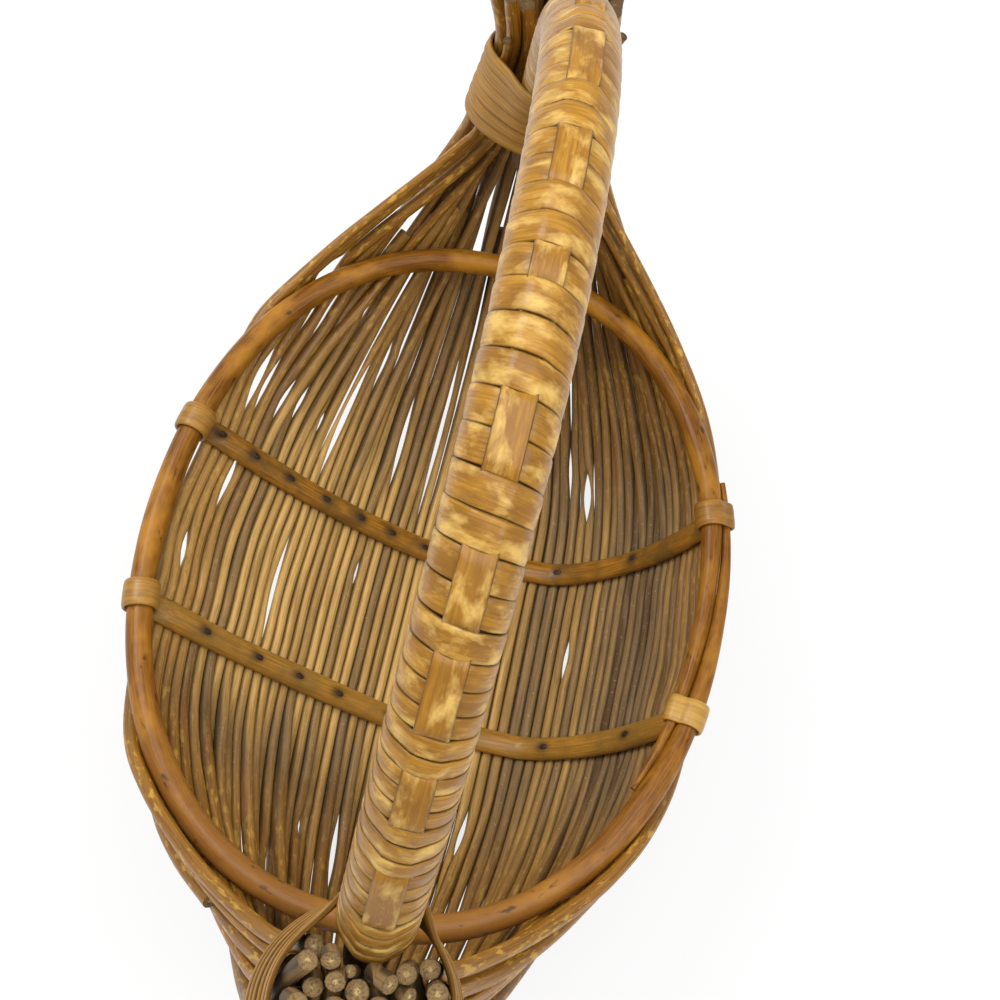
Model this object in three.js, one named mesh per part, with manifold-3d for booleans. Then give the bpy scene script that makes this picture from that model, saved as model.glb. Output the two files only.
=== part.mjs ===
// A gathering basket of round willow reeds, in millimetres, +Z up.
// The reeds lie side by side from end to end, outside two cross ribs and an oval pole rim.
// At each end they are drawn up into a bundle, and a cane winding holds it with the handle's foot.
// The long way of the basket is X. The floor is z = 0, and the rim's middle is over the origin.
import * as THREE from "three";
import { mergeVertices } from "three/addons/utils/BufferGeometryUtils.js";
import Module from "manifold-3d";

const wasm = await Module();
wasm.setup();

// Room left between pieces that touch.
const clearance = 0.3;

// Rim: one pole bent into an oval, its two ends thinned and laid side by side.
const rimHalfLength = 141;
const rimHalfWidth = 110;
const rimSquareness = 2.15;
const rimPoleRadius = 5;
const lapFrom = -60;
const lapTo = 75;
const lapTipRadius = 1.4;

// Ribs: two split canes across the bowl, their ends looped round the rim.
// The bowl is lopsided: one wall slopes evenly to the floor, and the other is steeper and rounder.
const ribFromMiddle = 41;
const nearRibSkew = -0.013;
const farRibSkew = -0.065;
const bowlDepth = 92;
const floorHalfWidth = 27;
const floorSideways = 25;
const slopingSquareness = 1.15;
const steepSquareness = 1.48;
const ribInset = 3;
const ribWidth = 10.5;
const ribThickness = 4.6;
const ribLoopThickness = 1.8;
const ribLoopWidth = 11;
const ribLoopRoom = 0.45;
const ribFlatShare = 0.4;

// Reeds: willow rods laid butt to tip in turn, in close groups with a slit between two groups.
// Thick ends stand out of a bundle, and thin ends stop inside it.
const reedCount = 61;
const reedMiddleRadius = 2.25;
const reedButtRadius = 2.85;
const reedTipRadius = 1.6;
const reedsPerGroup = 5;
const shortInGroup = 2;
const pairCloseness = 0.8;
const nearButtEnds = [2, 18];
const farButtEnds = [20, 38];
const nearEndsSpread = 0.12;
const farEndsSpread = 0.3;
const thinEndLevel = 0.8;

// How a reed leaves the ribs and comes up into a bundle, for the middle reed and the outermost.
const leaveLengths = [85, 70];
const arriveLengths = [75, 22];
const startInward = 0.12;
const startRise = 0.03;
const bundleSpread = 0.7 * Math.PI;
const layerPattern = [0, 1, 0, 2, 1, 0, 3, 0, 1, 2];
const layerStep = 4.9;
const layerNarrowing = 0.2;
const straightPastRib = 1;

// Bundles: the gathered reeds inside each winding, a cone that narrows upwards.
const bundlePastFoot = 19;
const bundleBaseHeight = 56;
const bundleHeight = 42;
const bundleBaseRadius = 30;
const bundleTopRadius = 24;
const bundleTilt = 0.45;
const nearBundleSideways = 8;
const farBundleSideways = -1;
const swellRoom = 2.8;
const swellSharpness = 6;
const windingTurns = 6;
const windingStripThickness = 1.6;
const windingGap = 0.55;

// Handle: a bent core wound with a flat cane strip, with a leader strip along its top.
const handleCoreRadius = 9.6;
const handleHalfSpan = 157;
const handleRise = 162;
const handleSquareness = 2.1;
const handleFootStraight = 4;
const handleNearSideways = 6.5;
const handleFarSideways = 1;
const handleSway = 6;
const handleTurns = 24;
const handleStripThickness = 1.4;
const handleStripRoom = 0.5;
const handleStripGap = 0.8;
const leaderWidth = 8;
const leaderThickness = 1;
const leaderRoom = 0.6;
const barePastWinding = 1.1;

// Settling the reeds: passes, how near two reeds are looked at, and the gap they end with.
const settlePasses = 300;
const passesPerSearch = 20;
const smoothPassesShare = 0.6;
const settleSight = 6;
const settledGap = 0.35;
const moveSpread = 0.3;
const leastWeight = 0.3;

// Faceting of the round pieces.
const reedSides = 5;
const poleSides = 8;
const windingSteps = 24;
const handleWindingSteps = 16;
const rimSteps = 52;
const ribSteps = 13;
const loopSegments = 10;
const handleCoreSteps = 36;
const leaderSteps = 40;
const measuringSteps = 160;

// The reeds' flat undersides stand on z = 0, which sets how far above it the rim lies.
const flatShare = Math.cos(Math.PI / reedSides);
const reedOffset = clearance + reedMiddleRadius;
const rimHeight = bowlDepth + ribThickness + reedOffset + reedMiddleRadius * flatShare;

// The handle's feet and the bundles round them stand at one place.
const bundleFromMiddle = handleHalfSpan + bundlePastFoot;
const handleFootHeight = rimHeight + bundleBaseHeight;
const handleSpringHeight = handleFootHeight + handleFootStraight;

const willow = new THREE.MeshStandardMaterial({ color: 0x9a6b35, roughness: 0.6, metalness: 0 });
const rattan = new THREE.MeshStandardMaterial({ color: 0xa8662c, roughness: 0.45, metalness: 0 });
const splitCane = new THREE.MeshStandardMaterial({ color: 0x9c6a2a, roughness: 0.5, metalness: 0 });
const windingCane = new THREE.MeshStandardMaterial({ color: 0xa77f45, roughness: 0.5, metalness: 0 });
const handleCane = new THREE.MeshStandardMaterial({ color: 0xc79a4c, roughness: 0.4, metalness: 0 });

const alongX = new THREE.Vector3(1, 0, 0);
const alongY = new THREE.Vector3(0, 1, 0);
const alongZ = new THREE.Vector3(0, 0, 1);
const { lerp, clamp } = THREE.MathUtils;
const evenSteps = (count) => Array.from({ length: count + 1 }, (_, k) => k / count);
const NEAR = 1;
const FAR = -1;

const basket = new THREE.Group();

function add(name, geometry, material) {
  const mesh = new THREE.Mesh(geometry, material);
  mesh.name = name;
  basket.add(mesh);
}

// The direction of travel at each point of an open line.
function directions(points) {
  return points.map((point, k) => {
    const before = points[Math.max(k - 1, 0)];
    const after = points[Math.min(k + 1, points.length - 1)];
    return after.clone().sub(before).normalize();
  });
}

// The two axes of a section square to the travel: one along the reference, one square to both.
function sectionAxes(travel, reference) {
  const side = reference.clone().addScaledVector(travel, -reference.dot(travel)).normalize();
  return [side, side.clone().cross(travel)];
}

function closed(geometry) {
  geometry.deleteAttribute("normal");
  geometry.deleteAttribute("uv");
  return mergeVertices(geometry, 1e-4);
}

// A rod along a line of points: a cylinder whose rings of vertices are moved onto the line.
// section(k, a, b) turns a point of the unit circle into a point of the section at step k.
function rod(points, sides, references, section, turn) {
  const last = points.length - 1;
  const rings = new THREE.CylinderGeometry(1, 1, 1, sides, last, false, turn);
  const position = rings.getAttribute("position");
  const travel = directions(points);
  for (let v = 0; v < position.count; v += 1) {
    const k = Math.round((position.getY(v) + 0.5) * last);
    const reference = Array.isArray(references) ? references[k] : references;
    const [side, lift] = sectionAxes(travel[k], reference);
    const [a, b] = section(k, position.getX(v), position.getZ(v));
    const place = points[k].clone().addScaledVector(side, a).addScaledVector(lift, b);
    position.setXYZ(v, place.x, place.y, place.z);
  }
  return closed(rings);
}

const roundSection = (radii) => (k, a, b) => [a * radii[k], b * radii[k]];
const cornerTurn = Math.PI / 4;

function solid(geometry) {
  return new wasm.Manifold(
    new wasm.Mesh({
      numProp: 3,
      vertProperties: new Float32Array(geometry.getAttribute("position").array),
      triVerts: new Uint32Array(geometry.index.array),
    }),
  );
}

function joined(geometries) {
  const mesh = geometries
    .map(solid)
    .reduce((whole, piece) => whole.add(piece))
    .getMesh();
  const geometry = new THREE.BufferGeometry();
  geometry.setAttribute("position", new THREE.BufferAttribute(mesh.vertProperties, 3));
  geometry.setIndex(new THREE.BufferAttribute(mesh.triVerts, 1));
  return geometry;
}

// Rim.

// A point of a superellipse with half axes 1, at an angle.
function superellipse(angle, squareness) {
  const power = 2 / squareness;
  const sharpen = (value) => Math.sign(value) * Math.abs(value) ** power;
  return [sharpen(Math.cos(angle)), sharpen(Math.sin(angle))];
}

function rimReach(x) {
  const share = Math.min(Math.abs(x) / rimHalfLength, 1);
  return rimHalfWidth * (1 - share ** rimSquareness) ** (1 / rimSquareness);
}

function rimPoint(angle) {
  const [along, sideways] = superellipse(angle, rimSquareness);
  return new THREE.Vector3(rimHalfLength * along, rimHalfWidth * sideways, rimHeight);
}

const rimAngle = (x) =>
  Math.acos(Math.sign(x) * (Math.abs(x) / rimHalfLength) ** (rimSquareness / 2));

// The lap: the outer end thins towards lapFrom, and the inner end thins towards lapTo.
const lapStep = rimPoleRadius + lapTipRadius + clearance;
const lapShare = (x) => clamp((x - lapFrom) / (lapTo - lapFrom), 0, 1);
const outerEnd = (x) => ({
  shift: lapStep * (1 - lapShare(x)),
  radius: lerp(lapTipRadius, rimPoleRadius, lapShare(x)),
});
const innerEnd = (x) => ({
  shift: -lapStep * lapShare(x),
  radius: lerp(rimPoleRadius, lapTipRadius, lapShare(x)),
});
const wholePole = { shift: 0, radius: rimPoleRadius };

// The pole starts at the outer tip, goes once round by the near end and ends at the inner tip.
function rimPole() {
  const [from, to] = [rimAngle(lapFrom), rimAngle(lapTo) - 2 * Math.PI];
  const angles = evenSteps(rimSteps).map((u) => lerp(from, to, u));
  const middle = angles.map(rimPoint);
  const travel = directions(middle);
  const ends = angles.map((angle, k) => {
    if (angle > 0) return outerEnd(middle[k].x);
    return angle < -Math.PI ? innerEnd(middle[k].x) : wholePole;
  });
  const points = middle.map((point, k) => {
    const outward = alongZ.clone().cross(travel[k]);
    return point.clone().addScaledVector(outward, ends[k].shift);
  });
  const radii = ends.map((end) => end.radius);
  return rod(points, poleSides, alongZ, roundSection(radii), Math.PI / poleSides);
}
add("rim_hoop", rimPole(), rattan);

// Ribs.

// One wall of the bowl's section, from under the rim to the floor: the ribs' outer face.
function wallSide(side, squareness, topDrop, steps) {
  const power = 2 / squareness;
  const floorEdge = floorSideways + side * floorHalfWidth;
  const reach = rimReach(ribFromMiddle) - ribInset + ribThickness;
  const depth = bowlDepth + ribThickness;
  const from = Math.asin((topDrop / depth) ** (1 / power));
  return evenSteps(steps).map((u) => {
    const angle = lerp(from, Math.PI / 2, u);
    const y = lerp(floorEdge, side * reach, Math.cos(angle) ** power);
    return new THREE.Vector3(0, y, rimHeight - depth * Math.sin(angle) ** power);
  });
}

// The whole section from -Y to +Y, at x = 0.
function wallLine(topDrop, steps) {
  const sloping = wallSide(-1, slopingSquareness, topDrop, steps);
  const steep = wallSide(1, steepSquareness, topDrop, steps);
  return [...sloping, ...steep.reverse()];
}

// The ribs don't cross the reeds quite squarely, so their x changes from side to side.
const ribSkew = { [NEAR]: nearRibSkew, [FAR]: farRibSkew };
const ribX = (end, y) => end * ribFromMiddle + ribSkew[end] * y;

// A loop's section is round the pole, or round both ends of the pole where the lap passes.
function ribLoop(x, side) {
  const reach = [x - ribLoopWidth / 2, x + ribLoopWidth / 2];
  const strands = side > 0 ? [...reach.map(innerEnd), ...reach.map(outerEnd)] : [wholePole];
  const low = Math.min(...strands.map((strand) => strand.shift - strand.radius));
  const high = Math.max(...strands.map((strand) => strand.shift + strand.radius));
  const tall = Math.max(...strands.map((strand) => strand.radius)) + ribLoopRoom;
  const half = (high - low) / 2 + ribLoopRoom;
  const outline = new THREE.Shape().absellipse(
    0, 0, half + ribLoopThickness, tall + ribLoopThickness, 0, 2 * Math.PI,
  );
  outline.holes.push(new THREE.Path().absellipse(0, 0, half, tall, 0, 2 * Math.PI));
  const loop = new THREE.ExtrudeGeometry(outline, {
    depth: ribLoopWidth,
    bevelEnabled: false,
    curveSegments: loopSegments,
  });
  const angle = side * rimAngle(x);
  const beside = side * (rimAngle(x - ribLoopWidth / 2) - angle * side);
  const travel = rimPoint(angle - Math.abs(beside)).sub(rimPoint(angle + Math.abs(beside)));
  const outward = alongZ.clone().cross(travel.normalize());
  const place = rimPoint(angle).addScaledVector(outward, (low + high) / 2);
  const along = outward.clone().cross(alongZ);
  const frame = new THREE.Matrix4().makeBasis(outward, alongZ, along).setPosition(place);
  loop.translate(0, 0, -ribLoopWidth / 2);
  return closed(loop.applyMatrix4(frame));
}

// The cane's flat face lies on the reeds and its round face is up. It ends under the pole.
function rib(end) {
  const topDrop = rimPoleRadius + ribLoopRoom + ribLoopThickness / 2;
  const line = wallLine(topDrop, ribSteps).map((point) => point.setX(ribX(end, point.y)));
  const loops = [-1, 1].map((side) => ribLoop(ribX(end, side * rimReach(ribFromMiddle)), side));
  const halfRound = (k, a, b) => {
    const lift = (Math.max(b, -ribFlatShare) + ribFlatShare) / (1 + ribFlatShare);
    return [(a * ribWidth) / 2, lift * ribThickness];
  };
  const bow = rod(line, poleSides, alongX, halfRound, 0);
  return joined([bow, ...loops]);
}
add("rib_near", rib(NEAR), splitCane);
add("rib_far", rib(FAR), splitCane);

// The handle's line: half a superellipse over straight feet, swaying a little sideways.

function handlePoint(angle) {
  const [along, up] = superellipse(angle, handleSquareness);
  const fromNear = (1 - along) / 2;
  const sideways = lerp(handleNearSideways, handleFarSideways, fromNear);
  const y = sideways + handleSway * Math.sin(Math.PI * fromNear);
  return new THREE.Vector3(handleHalfSpan * along, y, handleSpringHeight + handleRise * up);
}

function handleCurve() {
  const arch = evenSteps(measuringSteps).map((u) => handlePoint(Math.PI * u));
  const foot = (point) => point.clone().setZ(handleFootHeight);
  const line = [foot(arch[0]), ...arch, foot(arch[arch.length - 1])];
  const curve = new THREE.CatmullRomCurve3(line, false, "centripetal");
  curve.arcLengthDivisions = measuringSteps * 8;
  return curve;
}
const handleLine = handleCurve();

// The axes of the handle's section: along it, sideways, and outward from the arch's hollow.
function handleFrame(u) {
  const along = handleLine.getTangentAt(u);
  const [sideways, outward] = sectionAxes(along, alongY);
  return { place: handleLine.getPointAt(u), along, sideways, outward };
}

// Bundles.

const bundleSideways = { [NEAR]: nearBundleSideways, [FAR]: farBundleSideways };
const bundleBase = rimHeight + bundleBaseHeight;

// How far inward of a bundle's middle the handle's line is, above the bundle's tilted base.
function footInward(above) {
  let inward = bundlePastFoot;
  for (let pass = 0; pass < 4; pass += 1) {
    const up = bundleBase + above + bundleTilt * inward - handleSpringHeight;
    const share = clamp(up / handleRise, 0, 1);
    const x = handleHalfSpan * (1 - share ** handleSquareness) ** (1 / handleSquareness);
    inward = bundleFromMiddle - x;
  }
  return inward;
}

// A point on a bundle's skin. Angle 0 faces away from the basket. The skin swells over the foot.
function bundlePoint(end, angle, above, outside) {
  const radius = lerp(bundleBaseRadius, bundleTopRadius, above / bundleHeight);
  const swell = footInward(above) + handleCoreRadius + swellRoom - radius;
  const share = ((1 - Math.cos(angle)) / 2) ** swellSharpness;
  const reach = radius + Math.max(swell, 0) * share + outside;
  const inward = -reach * Math.cos(angle);
  const x = end * (bundleFromMiddle - inward);
  const y = bundleSideways[end] + reach * Math.sin(angle);
  return new THREE.Vector3(x, y, bundleBase + above + bundleTilt * inward);
}

// Windings.

const stripSection = (widths, thickness) => (k, a, b) => [
  (a * widths[k]) / Math.SQRT2,
  (b * thickness) / Math.SQRT2,
];

// The widths that a strip can have so that a gap is left between each turn and the next.
function stripWidths(points, perTurn, gap) {
  const travel = directions(points);
  return points.map((point, k) => {
    const others = [points[k - perTurn], points[k + perTurn]].filter(Boolean);
    const spacings = others.map((other) => {
      const step = other.clone().sub(point);
      return step.addScaledVector(travel[k], -step.dot(travel[k])).length();
    });
    return Math.min(...spacings) - gap;
  });
}

// The least room from one turn's edge to the next turn's, measured on the strip's corners.
function leastGap(points, references, widths, perTurn) {
  const travel = directions(points);
  const edge = (k, side) => {
    const [across] = sectionAxes(travel[k], references[k]);
    return points[k].clone().addScaledVector(across, (side * widths[k]) / 2);
  };
  const gaps = [];
  for (let k = 0; k + perTurn + 1 < points.length; k += 1) {
    for (const side of [-1, 1]) {
      const away = edge(k + perTurn, -side).sub(edge(k, side));
      gaps.push(away.addScaledVector(travel[k], -away.dot(travel[k])).length());
    }
  }
  return Math.min(...gaps.filter((gap) => gap > 0));
}

function stripAlong(points, references, perTurn, gap, thickness, name) {
  const widths = stripWidths(points, perTurn, gap);
  const least = leastGap(points, references, widths, perTurn);
  console.log(name, "least gap to itself", least.toFixed(2));
  return rod(points, 4, references, stripSection(widths, thickness), cornerTurn);
}

// One strip round a bundle, from its base to its top, with its turns square to the cone.
function bundleWinding(end, name) {
  const pitch = (bundleHeight + windingGap) / (windingTurns + 1);
  const outside = clearance + windingStripThickness / 2;
  const cornerRoom = bundleBaseRadius * (1 / Math.cos(Math.PI / windingSteps) - 1);
  const at = (k, lift) => {
    const above = pitch * (0.5 + k / windingSteps) - windingGap / 2 + lift;
    const angle = (2 * Math.PI * k) / windingSteps;
    return bundlePoint(end, angle, above, outside + cornerRoom);
  };
  const ks = Array.from({ length: windingTurns * windingSteps + 1 }, (_, k) => k);
  const points = ks.map((k) => at(k, 0));
  const references = ks.map((k) => at(k, 1).sub(at(k, -1)));
  return stripAlong(points, references, windingSteps, windingGap, windingStripThickness, name);
}
add("winding_near", bundleWinding(NEAR, "winding_near"), windingCane);
add("winding_far", bundleWinding(FAR, "winding_far"), windingCane);

// Handle.

function handleCore() {
  const us = evenSteps(handleCoreSteps);
  const points = us.map((u) => handleLine.getPointAt(u));
  const radii = us.map(() => handleCoreRadius);
  return rod(points, poleSides, alongY, roundSection(radii), Math.PI / poleSides);
}
add("handle_core", handleCore(), willow);

// The share of the handle's length at which it comes clear of a bundle's winding.
function bareShare(end) {
  const isClear = (u) => {
    const place = handleLine.getPointAt(end === NEAR ? u : 1 - u);
    const inward = bundleFromMiddle - Math.abs(place.x) - handleCoreRadius / 2;
    return place.z - bundleBase - bundleTilt * inward > bundleHeight + barePastWinding;
  };
  return evenSteps(measuringSteps * 8).find(isClear);
}
const woundFrom = bareShare(NEAR);
const woundTo = 1 - bareShare(FAR);
const circleRoom = 1 / Math.cos(Math.PI / handleWindingSteps);

function handleWinding() {
  const steps = handleTurns * handleWindingSteps;
  const half = (woundTo - woundFrom) / (handleTurns + 1) / 2;
  const us = evenSteps(steps).map((u) => lerp(woundFrom + half, woundTo - half, u));
  const radius = (handleCoreRadius + handleStripRoom + handleStripThickness / 2) * circleRoom;
  const frames = us.map(handleFrame);
  const points = frames.map(({ place, sideways, outward }, k) => {
    const angle = (2 * Math.PI * k) / handleWindingSteps + Math.PI / 2;
    return place
      .clone()
      .addScaledVector(outward, radius * Math.sin(angle))
      .addScaledVector(sideways, radius * Math.cos(angle));
  });
  const references = frames.map(({ along }) => along);
  return stripAlong(
    points, references, handleWindingSteps, handleStripGap, handleStripThickness, "handle_winding",
  );
}
add("handle_winding", handleWinding(), handleCane);

function leader() {
  const us = evenSteps(leaderSteps).map((u) => lerp(woundFrom, woundTo, u));
  const under = (handleCoreRadius + handleStripRoom + handleStripThickness) * circleRoom;
  const radius = under + leaderRoom + leaderThickness / 2;
  const points = us.map((u) => {
    const { place, outward } = handleFrame(u);
    return place.addScaledVector(outward, radius);
  });
  const widths = us.map(() => leaderWidth);
  return rod(points, 4, alongY, stripSection(widths, leaderThickness), cornerTurn);
}
add("handle_leader", leader(), handleCane);

// Reeds.

// Reeds keep this far under the middle of the rim at the ribs, so that the loops fit between.
const topReedDrop =
  rimPoleRadius + ribLoopRoom + ribLoopThickness + clearance + reedMiddleRadius;
const isShort = (i) => i % reedsPerGroup === shortInGroup;

// Where the reeds cross the ribs: in close groups along the bowl's section.
function reedPlaces() {
  const face = wallLine(topReedDrop, measuringSteps);
  const travel = directions(face);
  const offset = face.map((point, k) => {
    const outward = travel[k].clone().cross(alongX);
    return point.clone().addScaledVector(outward, reedOffset);
  });
  const line = new THREE.CurvePath();
  offset.slice(1).forEach((point, k) => line.add(new THREE.LineCurve3(offset[k], point)));
  const steps = Array.from({ length: reedCount - 1 }, (_, i) =>
    isShort(i) ? 2 * reedMiddleRadius * pairCloseness : 2 * reedMiddleRadius + clearance,
  );
  const close = steps.reduce((sum, step) => sum + step, 0);
  const slits = (reedCount - 1) / reedsPerGroup;
  const slit = (line.getLength() - close) / slits;
  const places = [0];
  steps.forEach((step, i) => {
    const opens = (i + 1) % reedsPerGroup === 0;
    places.push(places[i] + step + (opens ? slit : 0));
  });
  return places.map((along) => line.getPoint(clamp(along / line.getLength(), 0, 1)));
}

// Half of a reed from its rib to its end, as stations that can move, with a radius at each.
const buttEnds = { [NEAR]: nearButtEnds, [FAR]: farButtEnds };
const endsSpread = { [NEAR]: nearEndsSpread, [FAR]: farEndsSpread };
const curveStations = 5;
const lastStation = curveStations + 2;
const shortLastStation = 3;

function reedHalf(place, i, end) {
  const share = (2 * i) / (reedCount - 1) - 1;
  const outer = Math.abs(share);
  const straightEnd = ribX(end, place.y) + end * (ribWidth / 2 + straightPastRib);
  const start = new THREE.Vector3(straightEnd, place.y, place.z);
  const angle = share * bundleSpread;
  const layer = layerPattern[(isShort(i) ? i + 1 : i) % layerPattern.length];
  const within = layer * layerStep + reedButtRadius;
  const isButt = (i % 2 === 0) === (end === NEAR);
  const level = isButt ? 1 : thinEndLevel;
  const base = bundlePoint(end, angle, 0, -within);
  const inTop = -within * (1 - layerNarrowing * level);
  const top = bundlePoint(end, angle, bundleHeight * level, inTop);
  const leave = new THREE.Vector3(end, -startInward * share, startRise);
  const arrive = new THREE.Vector3(0, 0, -lerp(...arriveLengths, outer));
  const curve = new THREE.CubicBezierCurve3(
    start,
    start.clone().addScaledVector(leave, lerp(...leaveLengths, outer)),
    base.clone().add(arrive),
    base,
  );
  const middle = bundlePoint(end, 0, bundleHeight, -bundleTopRadius);
  const butt = top.clone().lerp(middle, -endsSpread[end]);
  butt.z += lerp(...buttEnds[end], ((i * 3) % reedsPerGroup) / (reedsPerGroup - 1));
  const stations = evenSteps(curveStations).map((u) => curve.getPoint(u));
  const points = isButt ? [...stations, top, butt] : [...stations, top];
  const endRadius = isButt ? reedButtRadius : reedTipRadius;
  const radii = points.map((_, k) => lerp(reedMiddleRadius, endRadius, k / lastStation));
  const count = isShort(i) ? shortLastStation + 1 : points.length;
  return { i, end, level, points: points.slice(0, count), radii, short: isShort(i) };
}

// Settling: reeds that are too near each other, or too near a fixed piece, are moved apart.

// How far along two straight pieces, a to b and c to d, their nearest points are.
function nearestShares(a, b, c, d) {
  const one = b.clone().sub(a);
  const two = d.clone().sub(c);
  const apart = a.clone().sub(c);
  const [oneOne, twoTwo, oneTwo] = [one.dot(one), two.dot(two), one.dot(two)];
  const square = oneOne * twoTwo - oneTwo * oneTwo;
  const free = oneTwo * two.dot(apart) - one.dot(apart) * twoTwo;
  const first = square > 1e-6 ? clamp(free / square, 0, 1) : 0.5;
  const t = clamp((oneTwo * first + two.dot(apart)) / twoTwo, 0, 1);
  return [clamp((oneTwo * t - one.dot(apart)) / oneOne, 0, 1), t];
}

function nearest({ one, j, two, k }) {
  const ends = [one.points[j], one.points[j + 1], two.points[k], two.points[k + 1]];
  const [s, t] = nearestShares(...ends);
  const away = ends[0].clone().lerp(ends[1], s).sub(ends[2].clone().lerp(ends[3], t));
  return { s, t, away, distance: away.length() };
}

// Moves the stations of two pieces so that their distance gets nearer to a wanted one.
function moveApart(pair, wanted) {
  const { s, t, away, distance } = nearest(pair);
  const { one, j, two, k } = pair;
  const weights = [1 - s, s, t - 1, -t];
  const moved = [[one, j], [one, j + 1], [two, k], [two, k + 1]];
  const free = moved.map(([piece, n]) => (piece.fixed || n === 0 ? 0 : 1));
  const total = weights.reduce((sum, weight, n) => sum + weight * weight * free[n], 0);
  if (distance < 1e-6) return;
  const push = (wanted - distance) / distance / Math.max(total, leastWeight);
  moved.forEach(([piece, n], m) => {
    if (free[m]) piece.points[n].addScaledVector(away, weights[m] * push);
  });
}

const thickest = (piece, k) => Math.max(piece.radii[k], piece.radii[k + 1]);
const areFused = (one, two) => one.short && two.i === one.i + 1;

function nearPairs(halves, fixed) {
  const pairs = [];
  const consider = (one, j, two, k) => {
    const least = thickest(one, j) + thickest(two, k) + settledGap;
    const pair = { one, j, two, k, least };
    if (nearest(pair).distance < least + settleSight) pairs.push(pair);
  };
  halves.forEach((one, n) => {
    for (let j = 0; j + 1 < one.points.length; j += 1) {
      for (const two of halves.slice(n + 1)) {
        if (areFused(one, two)) continue;
        for (const k of [j - 1, j, j + 1]) {
          if (k >= 0 && k + 1 < two.points.length) consider(one, j, two, k);
        }
      }
      for (const two of fixed) {
        for (let k = 0; k + 1 < two.points.length; k += 1) consider(one, j, two, k);
      }
    }
  });
  return pairs;
}

// Inside its bundle a reed keeps to the bundle's planes and inside the winding.
function holdInBundle({ points, radii, end, level, short }) {
  if (short) return;
  for (const [k, share] of [[curveStations, 0], [curveStations + 1, level]]) {
    const above = share * bundleHeight;
    const radius = lerp(bundleBaseRadius, bundleTopRadius, share);
    const outward = end * points[k].x - bundleFromMiddle;
    const sideways = points[k].y - bundleSideways[end];
    const most = radius - radii[k] - settledGap;
    const hold = Math.min(1, most / Math.hypot(outward, sideways));
    points[k].set(
      end * (bundleFromMiddle + outward * hold),
      bundleSideways[end] + sideways * hold,
      bundleBase + above - bundleTilt * outward * hold,
    );
  }
}

// Level with the rim a reed passes outside it, and no reed sinks below the floor.
function holdOutsideRim({ points, radii }) {
  points.slice(1).forEach((point, before) => {
    const k = before + 1;
    point.z = Math.max(point.z, radii[k] * flatShare);
    if (point.z < rimHeight - rimPoleRadius) return;
    const room = rimPoleRadius + radii[k] + settledGap;
    const [along, across] = [rimHalfLength + room, rimHalfWidth + room];
    const sum =
      Math.abs(point.x / along) ** rimSquareness + Math.abs(point.y / across) ** rimSquareness;
    const grow = Math.max(1, sum ** (-1 / rimSquareness));
    point.x *= grow;
    point.y *= grow;
  });
}

// Spreads each station's move to the stations beside it, so that a reed bends evenly.
function spreadMoves({ points, homes }) {
  const moves = points.map((point, k) => point.clone().sub(homes[k]));
  for (let k = 1; k + 1 < points.length; k += 1) {
    const even = moves[k - 1].clone().add(moves[k + 1]).multiplyScalar(0.5);
    points[k].addScaledVector(even.sub(moves[k]), moveSpread);
  }
}

function holdTogether(halves) {
  halves.filter((half) => half.short).forEach((one) => {
    const two = halves.find((half) => half.i === one.i + 1);
    for (let k = 1; k < one.points.length; k += 1) {
      const away = one.points[k].clone().sub(two.points[k]);
      const wanted = pairCloseness * (one.radii[k] + two.radii[k]);
      away.multiplyScalar((wanted - away.length()) / away.length() / 2);
      one.points[k].add(away);
      two.points[k].sub(away);
    }
  });
}

function settle(halves, fixed) {
  halves.forEach((half) => {
    half.homes = half.points.map((point) => point.clone());
  });
  let pairs = [];
  for (let pass = 0; pass < settlePasses; pass += 1) {
    if (pass % passesPerSearch === 0) pairs = nearPairs(halves, fixed);
    pairs.forEach((pair) => {
      if (nearest(pair).distance < pair.least) moveApart(pair, pair.least);
    });
    holdTogether(halves);
    if (pass < settlePasses * smoothPassesShare) halves.forEach(spreadMoves);
    halves.forEach(holdInBundle);
    halves.forEach(holdOutsideRim);
  }
  const gaps = nearPairs(halves, fixed).map((pair) => nearest(pair).distance - pair.least);
  console.log("reeds' least gap at this end", (Math.min(...gaps) + settledGap).toFixed(2));
}

// The pieces that the reeds keep clear of: the rim, and the handle with what is wound on it.
function fixedNear(end) {
  const bare = end === NEAR ? woundFrom : 1 - woundTo;
  const besideEnds = bare + buttEnds[end][1] / handleLine.getLength();
  const handleFrom = (from, to) =>
    evenSteps(6).map((u) => {
      const share = lerp(from, to, u);
      return handleLine.getPointAt(end === NEAR ? share : 1 - share);
    });
  const wound = (handleCoreRadius + handleStripRoom + handleStripThickness) * circleRoom;
  const covered = wound + leaderRoom + leaderThickness + clearance;
  const fixedPiece = (points, radius) => ({ points, radii: points.map(() => radius), fixed: true });
  return [
    fixedPiece(evenSteps(rimSteps).map((u) => rimPoint(2 * Math.PI * u)), rimPoleRadius),
    fixedPiece(handleFrom(0, bare), handleCoreRadius),
    fixedPiece(handleFrom(bare, besideEnds), covered),
  ];
}

function settledHalves(end) {
  const halves = reedPlaces().map((place, i) => reedHalf(place, i, end));
  settle(halves, fixedNear(end));
  return halves;
}

function reedSolid(far, near) {
  const points = [...far.points.slice().reverse(), ...near.points];
  const farRadii = far.radii.slice(0, far.points.length).reverse();
  const radii = [...farRadii, ...near.radii.slice(0, near.points.length)];
  return rod(points, reedSides, alongY, roundSection(radii), Math.PI / reedSides);
}

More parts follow.
